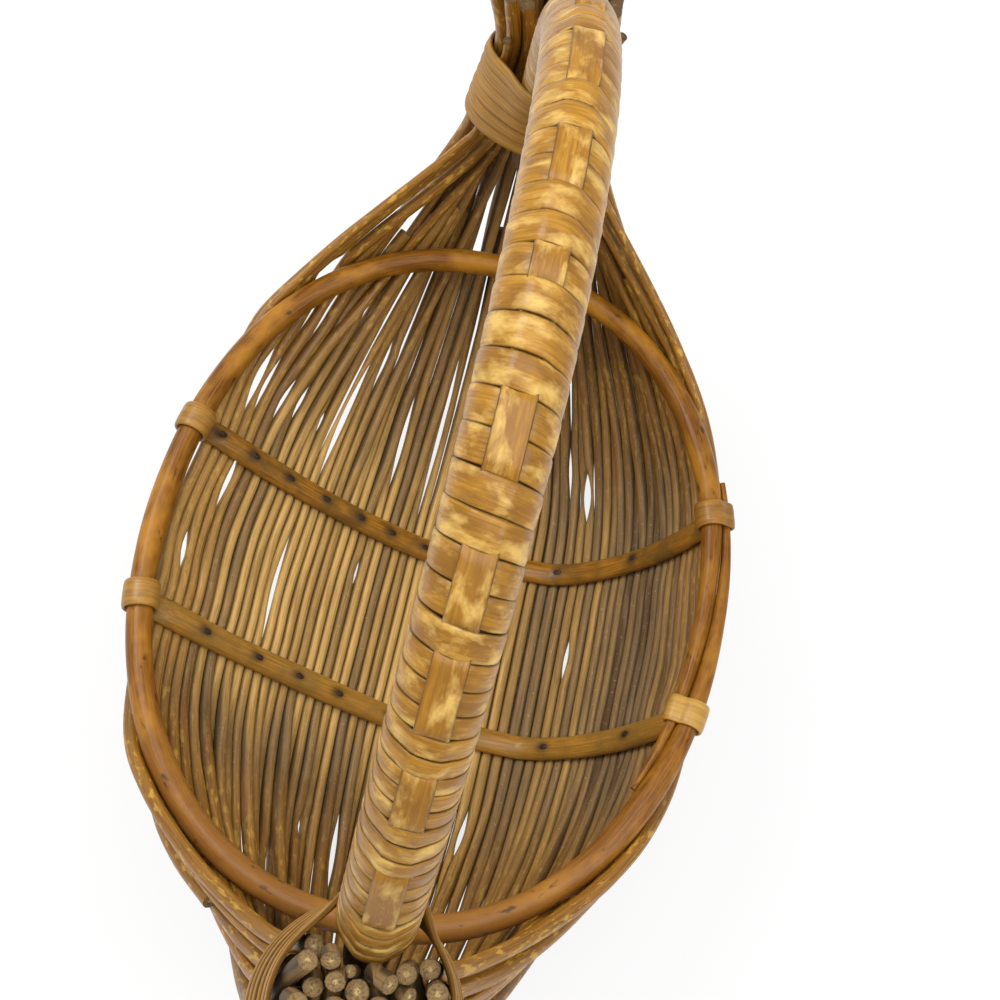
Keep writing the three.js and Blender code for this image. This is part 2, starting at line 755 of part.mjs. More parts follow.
// A short reed is one piece with the reed that it lies against.
const nearHalves = settledHalves(NEAR);
const farHalves = settledHalves(FAR);
nearHalves.forEach((near, i) => {
  const number = (k) => String(k + 1).padStart(2, "0");
  if (i > 0 && nearHalves[i - 1].short) return;
  const piece = reedSolid(farHalves[i], near);
  if (!near.short) {
    add(`reed_${number(i)}`, piece, willow);
    return;
  }
  const partner = reedSolid(farHalves[i + 1], nearHalves[i + 1]);
  add(`reed_${number(i)}_${number(i + 1)}`, joined([piece, partner]), willow);
});

export default basket;
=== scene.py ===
import math

import bmesh
import bpy
import numpy as np
from mathutils import Matrix, Vector


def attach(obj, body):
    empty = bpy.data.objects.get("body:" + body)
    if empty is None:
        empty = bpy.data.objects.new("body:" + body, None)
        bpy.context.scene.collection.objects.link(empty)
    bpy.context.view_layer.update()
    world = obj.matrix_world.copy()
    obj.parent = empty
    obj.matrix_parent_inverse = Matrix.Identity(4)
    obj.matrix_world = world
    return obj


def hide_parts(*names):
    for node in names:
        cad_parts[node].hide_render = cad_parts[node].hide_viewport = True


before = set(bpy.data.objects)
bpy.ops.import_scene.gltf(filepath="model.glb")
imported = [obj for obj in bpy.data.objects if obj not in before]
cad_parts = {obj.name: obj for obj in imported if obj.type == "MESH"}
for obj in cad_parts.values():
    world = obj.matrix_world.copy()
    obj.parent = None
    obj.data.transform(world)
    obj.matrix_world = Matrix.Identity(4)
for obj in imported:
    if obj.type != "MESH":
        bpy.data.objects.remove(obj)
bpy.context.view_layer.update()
scene = bpy.context.scene

# The view
# The basket is looked down into from above its near end, with the handle rising towards the
# eye. The lens and place are those at which the rim, the ribs and the handle line up.
eye = Vector((0.20801, 0.001198, 0.60390))
yaw, pitch, roll = 0.073, -1.126, 0.297
look = Vector(
    (-math.cos(pitch) * math.cos(yaw), math.cos(pitch) * math.sin(yaw), math.sin(pitch))
)
level = look.cross(Vector((0, 0, 1))).normalized()
upright = level.cross(look)
view_right = math.cos(roll) * level + math.sin(roll) * upright
view_up = math.cos(roll) * upright - math.sin(roll) * level
view = bpy.data.cameras.new("view_from_above")
view.lens = 49.7
view.sensor_width = 36
camera = bpy.data.objects.new("view_from_above", view)
turn = Matrix((view_right, view_up, -look)).transposed()
camera.matrix_world = Matrix.Translation(eye) @ turn.to_4x4()
scene.collection.objects.link(camera)
scene.camera = camera

# Rim
# One round rattan pole, scraped, varnished and bent into an oval while wet. Its two ends are
# thinned to points and laid side by side along the right side, where the ribs' loops hold
# them together. The basket's sizes are in millimetres.
MM = 0.001
rim_half_length, rim_half_width, rim_squareness = 141.0, 110.0, 2.15
rim_height = 100.97
pole_radius, lap_tip_radius, lap_gap = 5.0, 1.1, 0.15
lap_from, lap_to = -60.0, 75.0
lap_step = pole_radius + lap_tip_radius + lap_gap
rim_stations, pole_sides = 300, 20


def unit(rows):
    return rows / np.linalg.norm(rows, axis=-1, keepdims=True)


def run_along(line):
    """How far along a line each of its points is."""
    return np.concatenate([[0], np.linalg.norm(np.diff(line, axis=0), axis=1).cumsum()])


def power_of(value, squareness):
    return np.sign(value) * np.abs(value) ** (2 / squareness)


def uneven(run, *waves):
    """How a piece swells and thins along its run, as waves of (share, length, start)."""
    swell = 1
    for share, length, start in waves:
        swell = swell + share * np.sin(run / length + start)
    return swell


def new_piece():
    """An empty piece whose points can hold the lie of the grain, a tone, a shine and a heart."""
    bm = bmesh.new()
    bm.loops.layers.uv.new("UVMap")
    bm.verts.layers.float_vector.new("grain")
    for layer in ("tone", "shine", "heart"):
        bm.verts.layers.float.new(layer)
    return bm


def swept(bm, line, outline, across, tone=0.0, shine=0.0, shift=0.0, ring=False, cut=False):
    """Rolls a grid into a tube along a line. outline holds the section's points at each station.

    across is the direction of the section's width. shift moves the grain along the piece. ring
    is for a line that comes back to its start, and cut gives the ends a face with a heart.
    """
    stations, sides = outline.shape[:2]
    if ring:
        ahead = unit(np.roll(line[:-1], -1, 0) - np.roll(line[:-1], 1, 0))
        ahead = np.vstack([ahead, ahead[:1]])
    else:
        ahead = unit(np.gradient(line, axis=0))
    side = unit(across - (across * ahead).sum(1, keepdims=True) * ahead)
    lift = np.cross(side, ahead)
    skin = line[:, None] + outline[..., :1] * side[:, None] + outline[..., 1:] * lift[:, None]
    run = run_along(line) + shift
    tones = np.broadcast_to(tone, stations)
    shine = np.asarray(shine, float)
    shines = np.broadcast_to(shine[:, None] if shine.ndim == 1 else shine, (stations, sides))
    made = bmesh.ops.create_grid(
        bm, x_segments=sides, y_segments=stations - 1, size=0.5, calc_uvs=True
    )["verts"]
    grain_layer = bm.verts.layers.float_vector["grain"]
    tone_layer, shine_layer, heart_layer = (
        bm.verts.layers.float[name] for name in ("tone", "shine", "heart")
    )
    for vert in made:
        k = round((vert.co.y + 0.5) * (stations - 1))
        j = round((vert.co.x + 0.5) * sides) % sides
        vert.co = skin[k, j] * MM
        vert[grain_layer] = (outline[k, j, 0], outline[k, j, 1], run[k])
        vert[tone_layer] = tones[k]
        vert[shine_layer] = shines[k, j]
    bmesh.ops.remove_doubles(bm, verts=made, dist=1e-7)
    if ring:
        return
    open_edges = [e for e in bm.edges if e.is_boundary]
    caps = bmesh.ops.holes_fill(bm, edges=open_edges, sides=0)["faces"]
    for face in caps:
        face.material_index = 1 if cut else 0
        for edge in face.edges:
            edge.smooth = False
    if cut:
        rims = {v for face in caps for v in face.verts}
        for vert in set(bmesh.ops.poke(bm, faces=caps)["verts"]) - rims:
            near = next(e.other_vert(vert) for e in vert.link_edges)
            vert[heart_layer] = 1.0
            vert[grain_layer] = (0.0, 0.0, near[grain_layer][2])
            vert[tone_layer] = near[tone_layer]


def finished(bm, name, materials, slot, *nodes):
    """Makes a piece of a mesh, with its finishes, and hides the nodes that it stands for."""
    bmesh.ops.recalc_face_normals(bm, faces=bm.faces)
    mesh = bpy.data.meshes.new(name)
    for face in bm.faces:
        face.smooth = face.material_index == 0
    bm.to_mesh(mesh)
    bm.free()
    for material in materials:
        mesh.materials.append(material)
    piece = bpy.data.objects.new(name, mesh)
    scene.collection.objects.link(piece)
    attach(piece, "root")
    if nodes:
        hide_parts(*nodes)


def round_outline(radii, sides):
    turn = np.arange(sides) * 2 * math.pi / sides
    return np.asarray(radii)[:, None, None] * np.stack([np.cos(turn), np.sin(turn)], 1)


def finish_of(name, **settings):
    """A new material, and the tree and shader that its nodes go into."""
    material = bpy.data.materials.new(name)
    material.use_nodes = True
    tree = material.node_tree
    shader = tree.nodes["Principled BSDF"]
    for socket, value in settings.items():
        shader.inputs[socket.replace("_", " ")].default_value = value
    return material, tree, shader


def node(tree, kind, inputs, **settings):
    made = tree.nodes.new(kind)
    for key, value in settings.items():
        setattr(made, key, value)
    for key, value in inputs.items():
        if isinstance(value, bpy.types.NodeSocket):
            tree.links.new(value, made.inputs[key])
        else:
            made.inputs[key].default_value = value
    return made


def stored(tree, name, output="Fac"):
    return node(tree, "ShaderNodeAttribute", {}, attribute_name=name).outputs[output]


def noise(tree, where, scale, detail=3.0, roughness=0.55, lean=(1, 1, 1), distortion=0.0):
    """Noise on the lie of the grain. lean squeezes it, so that it runs along the piece."""
    leaned = node(tree, "ShaderNodeMapping", {"Vector": where, "Scale": lean}).outputs[0]
    inputs = {
        "Vector": leaned, "Scale": scale, "Detail": detail,
        "Roughness": roughness, "Distortion": distortion,
    }
    return node(tree, "ShaderNodeTexNoise", inputs).outputs["Fac"]


def ramp(tree, factor, *stops):
    """A colour ramp from (place, colour) stops, a colour being a grey or three numbers."""
    made = node(tree, "ShaderNodeValToRGB", {"Fac": factor})
    elements = made.color_ramp.elements
    while len(elements) < len(stops):
        elements.new(0.5)
    for element, (place, shade) in zip(elements, stops):
        element.position = place
        element.color = (*shade, 1) if isinstance(shade, tuple) else (shade, shade, shade, 1)
    return made.outputs["Color"]


def mixed(tree, factor, one, two, blend="MIX"):
    inputs = {0: factor, 6: one, 7: two}
    made = node(tree, "ShaderNodeMix", inputs, data_type="RGBA", blend_type=blend)
    return made.outputs[2]


def math_of(tree, operation, one, two=0.0, three=0.0):
    inputs = {0: one, 1: two, 2: three}
    return node(tree, "ShaderNodeMath", inputs, operation=operation).outputs[0]


def coloured(tree, shader, tint, rough=None):
    """Joins a finish's colour to its shader, and its roughness where that varies."""
    tree.links.new(tint, shader.inputs["Base Color"])
    if rough is not None:
        tree.links.new(rough, shader.inputs["Roughness"])


def bumped(tree, shader, height, strength, depth):
    made = node(tree, "ShaderNodeBump", {"Height": height, "Strength": strength, "Distance": depth})
    tree.links.new(made.outputs[0], shader.inputs["Normal"])


def colour(red, green, blue):
    return (red, green, blue, 1.0)


pole_finish, tree, shader = finish_of(
    "varnished_pole", Specular_IOR_Level=0.22, Coat_Weight=0.12, Coat_Roughness=0.22
)
grain = stored(tree, "grain", "Vector")
fibres = noise(tree, grain, 1.6, 4.0, 0.6, (1, 1, 0.035))
clouds = noise(tree, grain, 0.045, 3.0, 0.6, (2, 2, 1))
dents = noise(tree, grain, 0.28, 2.0, 0.5, (1, 1, 0.5))
wood = ramp(
    tree, fibres,
    (0.3, (0.10, 0.030, 0.001)), (0.52, (0.21, 0.074, 0.003)), (0.75, (0.33, 0.130, 0.009)),
)
warm = mixed(tree, ramp(tree, clouds, (0.42, 0.0), (0.68, 1.0)), wood, colour(0.41, 0.175, 0.014))
handled = ramp(tree, stored(tree, "tone"), (0.0, 0.0), (1.0, 0.6))
worn = mixed(tree, handled, warm, colour(0.36, 0.160, 0.040))
marked = mixed(tree, 1.0, worn, ramp(tree, dents, (0.27, 0.35), (0.36, 1.0)), "MULTIPLY")
coloured(tree, shader, marked, ramp(tree, clouds, (0.3, 0.32), (0.7, 0.5)))
bumped(tree, shader, mixed(tree, 0.35, fibres, dents), 0.35, 0.0004)


def rim_angle(x):
    return math.acos(np.sign(x) * (abs(x) / rim_half_length) ** (rim_squareness / 2))


def rim_line(angle):
    x = rim_half_length * power_of(np.cos(angle), rim_squareness)
    y = rim_half_width * power_of(np.sin(angle), rim_squareness)
    return np.stack([x, y, np.full_like(x, rim_height)], -1)


def outward_of(line):
    """Away from the middle, level, square to a line that is followed from its left end."""
    ahead = unit(np.gradient(line, axis=0))
    return unit(np.stack([-ahead[:, 1], ahead[:, 0], 0 * ahead[:, 0]], 1))


def lap_strands(x):
    """How far out the outer and the inner end lie where they lap, each with its radius."""
    share = np.clip((x - lap_from) / (lap_to - lap_from), 0, 1)
    thinning = pole_radius - lap_tip_radius
    outer = (lap_step * (1 - share), lap_tip_radius + thinning * share)
    inner = (-lap_step * share, pole_radius - thinning * share)
    return outer, inner


# The pole isn't quite even along its length, and its varnish has worn at the near end.
angles = np.linspace(rim_angle(lap_from), rim_angle(lap_to) - 2 * math.pi, rim_stations)
middle = rim_line(angles)
outer, inner = lap_strands(middle[:, 0])
on_outer, on_inner = angles > 0, angles < -math.pi
shifts = np.where(on_outer, outer[0], np.where(on_inner, inner[0], 0))
radii = np.where(on_outer, outer[1], np.where(on_inner, inner[1], pole_radius))
radii = radii * uneven(run_along(middle), (0.018, 17, 0), (0.012, 7.3, 2))
line = middle + outward_of(middle) * shifts[:, None]
worn_length = 45
worn_share = np.exp(-(((middle[:, 0] - rim_half_length) / worn_length) ** 2))
bm = new_piece()
swept(bm, line, round_outline(radii, pole_sides), np.array([[0, 0, 1.0]]), tone=worn_share)
finished(bm, "rim_pole", [pole_finish], "rattan", "rim_hoop")

# Ribs
# Two split canes lie across the bowl with their flat face on the reeds and their round face
# up. Each end is pared thin and looped once round the rim. Tacks through the cane hold the
# reeds, and rust from them has darkened the cane beside each head.
rib_from_middle, bowl_depth = 41.0, 92.0
# The bowl is lopsided: its floor lies to the right, and the wall on that side is steeper.
floor_half_width, floor_sideways, sloping, steep = 27.0, 25.0, 1.15, 1.48
rib_inset, rib_width, rib_thickness, rib_height = 3.0, 10.5, 4.0, 5.0
rib_sides, rib_stations, rib_flatness = 28, 240, 0.55
pared_length, pared_share = 8, 0.6
loop_width, loop_thickness, loop_room, loop_ridge = 11.0, 1.8, 0.25, 0.55
loop_sides, loop_steps = 20, 48
tack_half_length, tack_half_width, tack_rise = 2.1, 1.2, 0.4
rust_length, rust_width, rust_strength = 3.9, 2.4, 0.85


def rim_reach(x):
    share = min(abs(x) / rim_half_length, 1)
    return rim_half_width * (1 - share**rim_squareness) ** (1 / rim_squareness)


def rib_x(end, y):
    """A rib doesn't cross the reeds quite squarely."""
    skew = -0.013 * y if end > 0 else np.where(np.asarray(y) < 0, -0.065, -0.045) * y
    return end * rib_from_middle + skew


def wall_line(thickness, top_drop, steps):
    """The bowl's section, below the ribs' crown by a thickness, from -Y to +Y."""
    walls = []
    for side, squareness in ((-1, sloping), (1, steep)):
        power = 2 / squareness
        floor_edge = floor_sideways + side * floor_half_width
        reach = side * (rim_reach(rib_from_middle) - rib_inset + thickness)
        depth = bowl_depth + thickness
        turn = np.linspace(math.asin((top_drop / depth) ** (1 / power)), math.pi / 2, steps)
        y = floor_edge + (reach - floor_edge) * np.cos(turn) ** power
        walls.append(np.stack([0 * y, y, rim_height - depth * np.sin(turn) ** power], 1))
    return np.vstack([walls[0], walls[1][::-1]])


def even_line(line, count):
    """The same line, with its points evenly spaced."""
    run = run_along(line)
    at = np.linspace(0, run[-1], count)
    return np.stack([np.interp(at, run, line[:, c]) for c in range(3)], 1)


cane_finish, tree, shader = finish_of(
    "split_cane", Specular_IOR_Level=0.35, Coat_Weight=0.2, Coat_Roughness=0.26
)
grain = stored(tree, "grain", "Vector")
fibres = noise(tree, grain, 1.3, 4.0, 0.6, (1, 1, 0.04))
clouds = noise(tree, grain, 0.06, 4.0, 0.6, (1.6, 1.6, 1))
wood = ramp(
    tree, fibres,
    (0.3, (0.20, 0.075, 0.007)), (0.52, (0.35, 0.150, 0.013)), (0.75, (0.50, 0.240, 0.034)),
)
patches = ramp(tree, clouds, (0.36, 0.2), (0.48, 0.65), (0.58, 1.0))
patched = mixed(tree, patches, colour(0.13, 0.066, 0.010), wood)
strip = ramp(tree, fibres, (0.3, (0.38, 0.185, 0.026)), (0.7, (0.58, 0.335, 0.068)))
pale = mixed(tree, stored(tree, "tone"), patched, strip)
rust = mixed(tree, stored(tree, "shine"), pale, colour(0.030, 0.018, 0.010))
coloured(tree, shader, rust, ramp(tree, clouds, (0.3, 0.5), (0.7, 0.33)))
bumped(tree, shader, fibres, 0.3, 0.0004)

tack_finish, tree, shader = finish_of("tack_head", Metallic=0.6)
place = node(tree, "ShaderNodeTexCoord", {}).outputs["Object"]
specks = noise(tree, place, 900.0, 3.0)
rusted = ramp(tree, specks, (0.35, (0.03, 0.02, 0.014)), (0.7, (0.10, 0.06, 0.035)))
coloured(tree, shader, rusted, ramp(tree, specks, (0.3, 0.45), (0.7, 0.75)))
bumped(tree, shader, specks, 0.4, 0.0002)


def rib_loop(bm, x, side, paleness):
    """The pared end of a rib, once round the pole, or round both its ends where they lap."""
    strands = lap_strands(x) if side > 0 else [(0.0, pole_radius)]
    low = min(shift - radius for shift, radius in strands)
    high = max(shift + radius for shift, radius in strands)
    centre = (low + high) / 2
    turn = np.linspace(0, 2 * math.pi, loop_steps + 1)
    rays = np.stack([np.cos(turn), np.sin(turn)], 1)
    reach = np.zeros(len(turn))
    for shift, radius in strands:
        away = rays[:, 0] * (shift - centre)
        inside = np.maximum(radius**2 - (shift - centre) ** 2 + away**2, 0)
        reach = np.maximum(reach, away + np.sqrt(inside))
    reach = reach + loop_room + loop_thickness / 2
    # The strip bridges the dip between two strands.
    kernel = np.array([0.25, 0.5, 0.25])
    for _ in range(3):
        wrapped = np.concatenate([reach[-2:-1], reach, reach[1:2]])
        reach = np.maximum(reach, np.convolve(wrapped, kernel, "valid"))
    angle = side * rim_angle(x)
    beside = rim_line(np.array([angle - 0.02 * side, angle + 0.02 * side]))
    ahead = unit(beside[1] - beside[0])
    outward = unit(np.array([-ahead[1], ahead[0], 0]))
    outward = outward * np.sign(outward[1]) * side
    place = rim_line(np.array([angle]))[0] + outward * centre
    flat = reach[:, None] * rays
    line = place + flat[:, :1] * outward + flat[:, 1:] * np.array([0, 0, 1.0])
    corner = np.arange(loop_sides) * 2 * math.pi / loop_sides + math.pi / loop_sides
    across = power_of(np.cos(corner), 4) * loop_width / 2
    lift = power_of(np.sin(corner), 3) * loop_thickness / 2
    ridges = 0.5 + 0.5 * np.cos((across / loop_width * 2 + 0.5) * 2 * math.pi)
    lift = lift + loop_ridge * ridges * (lift > 0)
    outline = np.broadcast_to(np.stack([across, lift], 1), (len(line), loop_sides, 2))
    swept(bm, line, outline, np.cross(outward, [0, 0, 1.0])[None], tone=paleness, ring=True)


# How far sideways each tack is, and how pale each rib and each of its loops is.
tack_places = {
    1: (-86, -66, -49, -32, -8, 22, 66, 95),
    -1: (-101, -88, -73, -57, -41, -27, -10, 57, 88),
}
rib_paleness = {1: 0.35, -1: 0.0}
loop_paleness = {1: (0.3, 0.9), -1: (0.2, 0.0)}
rib_top_drop = pole_radius + loop_room + loop_thickness / 2
for end, name in ((1, "near"), (-1, "far")):
    line = even_line(wall_line(rib_thickness, rib_top_drop, rib_stations), rib_stations)
    line[:, 0] = rib_x(end, line[:, 1]) + 0.5 * np.sin(run_along(line) / 31 + end)
    run = run_along(line)
    to_end = np.minimum(run, run[-1] - run)
    pared = 1 - pared_share * np.exp(-((to_end / pared_length) ** 2))
    turn = np.arange(rib_sides) * 2 * math.pi / rib_sides
    lift = (np.maximum(np.sin(turn), -rib_flatness) + rib_flatness) / (1 + rib_flatness)
    widths = rib_width / 2 * uneven(run, (0.03, 13, end))
    across = np.cos(turn) * widths[:, None]
    outline = np.stack([across, lift * (rib_height * pared)[:, None]], -1)
    places = np.interp(tack_places[end], line[:, 1], run)
    away = np.abs(run[:, None] - places).min(1)[:, None]
    spots = np.exp(-((away / rust_length) ** 2 + (across / rust_width) ** 2) ** 1.5)
    spots = rust_strength * (spots * (lift > 0.5))
    bm = new_piece()
    swept(bm, line, outline, np.array([[1.0, 0, 0]]), tone=rib_paleness[end], shine=spots)
    for side, paleness in zip((-1, 1), loop_paleness[end]):
        rib_loop(bm, float(rib_x(end, side * rim_reach(rib_from_middle))), side, paleness)
    finished(bm, f"rib_cane_{name}", [cane_finish], "split_cane", f"rib_{name}")
    bm = new_piece()
    head = Matrix.Diagonal((tack_half_length * MM, tack_half_width * MM, tack_rise * MM, 1))
    for at in places:
        k = int(np.searchsorted(run, at))
        ahead = unit(line[k + 1] - line[k - 1])
        inward = np.cross([1.0, 0, 0], ahead)
        basis = Matrix((ahead, (1, 0, 0), inward)).transposed().to_4x4()
        spot = Matrix.Translation((line[k] + inward * rib_height) * MM)
        bmesh.ops.create_uvsphere(
            bm, u_segments=12, v_segments=8, radius=1, matrix=spot @ basis @ head
        )
    finished(bm, f"tacks_{name}", [tack_finish], "split_cane")

# Reeds
# Sixty-one willow rods lie side by side under the ribs, butt to tip in turn. Past the ribs
# they sweep out beneath the rim and up into a bundle at each end. Some stop short of it. They
# are worn pale inside, and outside they keep a glossy brown skin with yellow flecks.
reed_count, reed_sides, reed_gap = 61, 12, 0.03
bundle_from_middle, bundle_base, bundle_height = 176.0, rim_height + 56.0, 42.0
bundle_base_radius, bundle_top_radius, bundle_tilt = 30.0, 24.0, 0.45
bundle_sideways = {1: 8.0, -1: -1.0}
bundle_fan = 0.7
# How much wider the foot of each bundle is, and how far it leans sideways.
flare = {1: (0.08, -1.5), -1: (0.0, 0.0)}
# In which layer of a bundle one reed after another lies, the skin being layer 0.
layers_in = (0, 1, 0, 2, 1, 0, 3, 0, 1, 2)
layer_step, first_layer = 4.9, 2.85
half_span, arch_rise, arch_squareness = 157.0, 162.0, 2.1
core_radius, swell_room, swell_sharpness = 9.6, 2.8, 24
foot_height, spring_height = bundle_base, bundle_base + 4.0


def foot_inward(above):
    """How far inward of a bundle's middle the handle's line is, at a height in the bundle."""
    inward = bundle_from_middle - half_span
    for _ in range(4):
        up = bundle_base + above + bundle_tilt * inward - spring_height
        share = np.clip(up / arch_rise, 0, 1)
        reach = half_span * (1 - share**arch_squareness) ** (1 / arch_squareness)
        inward = bundle_from_middle - reach
    return inward


def bundle_skin(end, angle, above, outside):
    """A point on a bundle's skin. Angle 0 faces away from the basket, and it swells at the foot."""
    radius = bundle_base_radius + (bundle_top_radius - bundle_base_radius) * above / bundle_height
    swell = np.maximum(foot_inward(above) + core_radius + swell_room - radius, 0)
    reach = radius + swell * ((1 - np.cos(angle)) / 2) ** swell_sharpness
    low = np.clip(1 - above / bundle_height, 0, 1)
    wider, lean = flare[end]
    reach = reach * (1 + wider * low * np.abs(np.sin(angle))) + outside
    inward = -reach * np.cos(angle)
    x = end * (bundle_from_middle - inward)
    y = bundle_sideways[end] + lean * low + reach * np.sin(angle)
    return np.stack(np.broadcast_arrays(x, y, bundle_base + above + bundle_tilt * inward), -1)


# The handle's line, an arch on short straight feet that sways a little to one side.
turn = np.linspace(0, math.pi, 2001)
along = power_of(np.cos(turn), arch_squareness)
from_near = (1 - along) / 2
arch = np.stack(
    [
        half_span * along,
        6.5 - 5.5 * from_near + 6.0 * np.sin(math.pi * from_near),
        spring_height + arch_rise * power_of(np.sin(turn), arch_squareness),
    ],
    1,
)
feet = [[(*spring[:2], foot_height)] for spring in (arch[0], arch[-1])]
handle_line = even_line(np.vstack([feet[0], arch, feet[1]]), 1200)
handle_run = run_along(handle_line)


def handle_at(run):
    return np.stack([np.interp(run, handle_run, handle_line[:, c]) for c in range(3)], -1)


# Where the reeds cross the ribs. Their radii differ a little, and together they fill the rib.
chance = np.random.default_rng(23)
under_rib = wall_line(rib_thickness, pole_radius + loop_room + loop_thickness + 0.6, 400)
under_rib = even_line(under_rib, 2000)
rib_run = run_along(under_rib)
outer_inset = 2.3
pitch_of_reeds = (rib_run[-1] - 2 * outer_inset) / (reed_count - 1)
middle_radii = pitch_of_reeds / 2 + 0.06 * chance.standard_normal(reed_count)
middle_radii = np.clip(middle_radii, 2.25, 2.44)
steps = middle_radii[1:] + middle_radii[:-1]
steps *= (rib_run[-1] - 2 * outer_inset) / steps.sum()
rib_places = outer_inset + np.concatenate([[0], steps.cumsum()])
down = np.cross(unit(np.gradient(under_rib, axis=0)), [1.0, 0, 0])
# From -1 for the reed at the -Y edge of the bowl to 1 for the one at the +Y edge.
across_bowl = 2 * np.arange(reed_count) / (reed_count - 1) - 1
is_short = np.arange(reed_count) % 5 == 2
curve_stations, thin_above = 9, bundle_height - 14


def at_rib(run, drop):
    """A point below a rib, from how far along it and how far below its flat face it is."""
    columns = [
        np.interp(run, rib_run, under_rib[:, c]) + drop * np.interp(run, rib_run, down[:, c])
        for c in range(3)
    ]
    return np.stack(columns, -1)


def bezier(u, a, b, c, d):
    v = 1 - u
    return v**3 * a + 3 * v**2 * u * b + 3 * v * u**2 * c + u**3 * d


# The cut ends that crowd up beside the handle's near foot, from left to right: how far inward
# and sideways each is from the bundle's middle, how high, how thick, and how far it leans over.
cut_ends = (
    (5.0, -13.5, 11, 3.1, 8.0),
    (9.9, -11.6, 10, 2.9, 8.0),
    (15.0, -8.6, 8, 2.8, 1.0),
    (1.8, -7.6, 9, 2.9, 4.0),
    (7.1, -6.6, 9, 2.9, 3.0),
    (13.4, -4.6, 5, 1.8, 1.0),
    (8.4, -1.0, 6, 3.5, 0.0),
    (1.2, 2.4, 5, 3.1, -1.0),
    (14.2, 4.2, 9, 2.9, 4.0),
    (6.8, 6.2, 8, 3.4, 0.0),
    (10.6, 10.5, 7, 2.9, 0.0),
    (8.2, 15.0, 5, 2.5, 5.0),
)


def placed_cut_ends(points, radii):
    """Gives the butts that can be seen in the near bundle their places, and lowers the rest."""
    butts = [i for i in range(0, reed_count, 2) if not is_short[i]]
    seen = np.linspace(2, len(butts) - 3, len(cut_ends)).round().astype(int)
    for i in butts:
        points[i, -1, 2] = max(points[i, -1, 2] - 8, points[i, -2, 2] + 1)
    for at, (inward, side, rise, radius, lean) in zip(seen, cut_ends):
        i = butts[at]
        height = bundle_base + bundle_height + bundle_tilt * inward
        tip = np.array([bundle_from_middle - inward, bundle_sideways[1] + side, height + rise])
        points[i, -1] = tip
        points[i, -2] = tip + (0.25 * lean, -lean, -rise - 0.11 * lean)
        radii[i, -3:] = radius


def reed_halves(end):
    """Each reed from the ribs to its end, as stations that can be pushed apart."""
    stations = curve_stations + 3
    points = np.zeros((reed_count, stations, 3))
    radii = np.zeros((reed_count, stations))
    counts = np.full(reed_count, stations)
    middle = bundle_skin(end, 0.0, bundle_height, -bundle_top_radius)
    # How far a butt and a tip rise from the bundle, at the least and at the most.
    butt_rise, tip_rise = ((1, 17), (-8, 1)) if end == 1 else ((20, 36), (6, 16))
    butt_spread = 0.12 if end == 1 else 0.3
    for i, share in enumerate(across_bowl):
        outer = abs(share)
        is_butt = (i % 2 == 0) == (end == 1)
        start = at_rib(rib_places[i], middle_radii[i] + reed_gap)
        start[0] = rib_x(end, start[1]) + end * (rib_width / 2 + 1)
        angle = share * bundle_fan * math.pi
        within = layers_in[(i + 1 if is_short[i] else i) % 10] * layer_step + first_layer
        base = bundle_skin(end, angle, 0.0, -within)
        top = bundle_skin(end, angle, bundle_height, -within * 0.8)
        # It leaves the rib along the basket and comes into the bundle from below.
        leave = np.array([end, -0.12 * share, 0.03]) * (85 - 15 * outer)
        arrive = np.array([0, 0, 53 * outer - 75])
        u = np.linspace(0, 1, curve_stations + 1)[:, None]
        points[i, : curve_stations + 1] = bezier(u, start, start + leave, base + arrive, base)
        tip = top + (top - middle) * butt_spread
        if end == -1 and share > 0:
            tip[1] += 0.5 * (middle[1] - top[1])
        tip[2] = top[2] + chance.uniform(*(butt_rise if is_butt else tip_rise))
        if not is_butt:
            tip[:2] = top[:2]
        if end == 1 and not is_butt:
            top = bundle_skin(end, angle, thin_above, -within * 0.8)
        points[i, -2:] = top, tip
        end_radius = chance.uniform(2.75, 3.15) if is_butt else chance.uniform(1.5, 1.9)
        radii[i] = np.interp(
            np.arange(stations), [0, curve_stations], [middle_radii[i], end_radius]
        )
        if is_short[i]:
            counts[i] = chance.integers(6, 8)
    points[:, 2:curve_stations, 1] += chance.normal(0, 0.7, (reed_count, 1))
    if end == 1:
        placed_cut_ends(points, radii)
    return points, radii, counts


def nearest_shares(a, b, c, d):
    """How far along each of two straight pieces, a to b and c to d, their nearest points are."""
    one, two, apart = b - a, d - c, a - c
    one_one, two_two, one_two = (one * one).sum(1), (two * two).sum(1), (one * two).sum(1)
    one_apart, two_apart = (one * apart).sum(1), (two * apart).sum(1)
    square = one_one * two_two - one_two**2
    free = one_two * two_apart - one_apart * two_two
    first = np.where(square > 1e-6, np.clip(free / np.maximum(square, 1e-6), 0, 1), 0.5)
    t = np.clip((one_two * first + two_apart) / two_two, 0, 1)
    return np.clip((one_two * t - one_apart) / one_one, 0, 1), t


def pairs_that_may_touch(counts, stations, obstacles):
    """Straight pieces of two reeds, or of a reed and an obstacle, each by its first station."""
    fixed, start = [], reed_count * stations
    for obstacle in obstacles:
        fixed += range(start, start + len(obstacle) - 1)
        start += len(obstacle)
    pairs = []
    for i in range(reed_count):
        for j in range(counts[i] - 1):
            here = i * stations + j
            for other in range(i + 1, reed_count):
                for k in range(max(j - 2, 0), min(j + 3, counts[other] - 1)):
                    pairs.append((here, other * stations + k))
            pairs += [(here, piece) for piece in fixed]
    return np.array(pairs).T


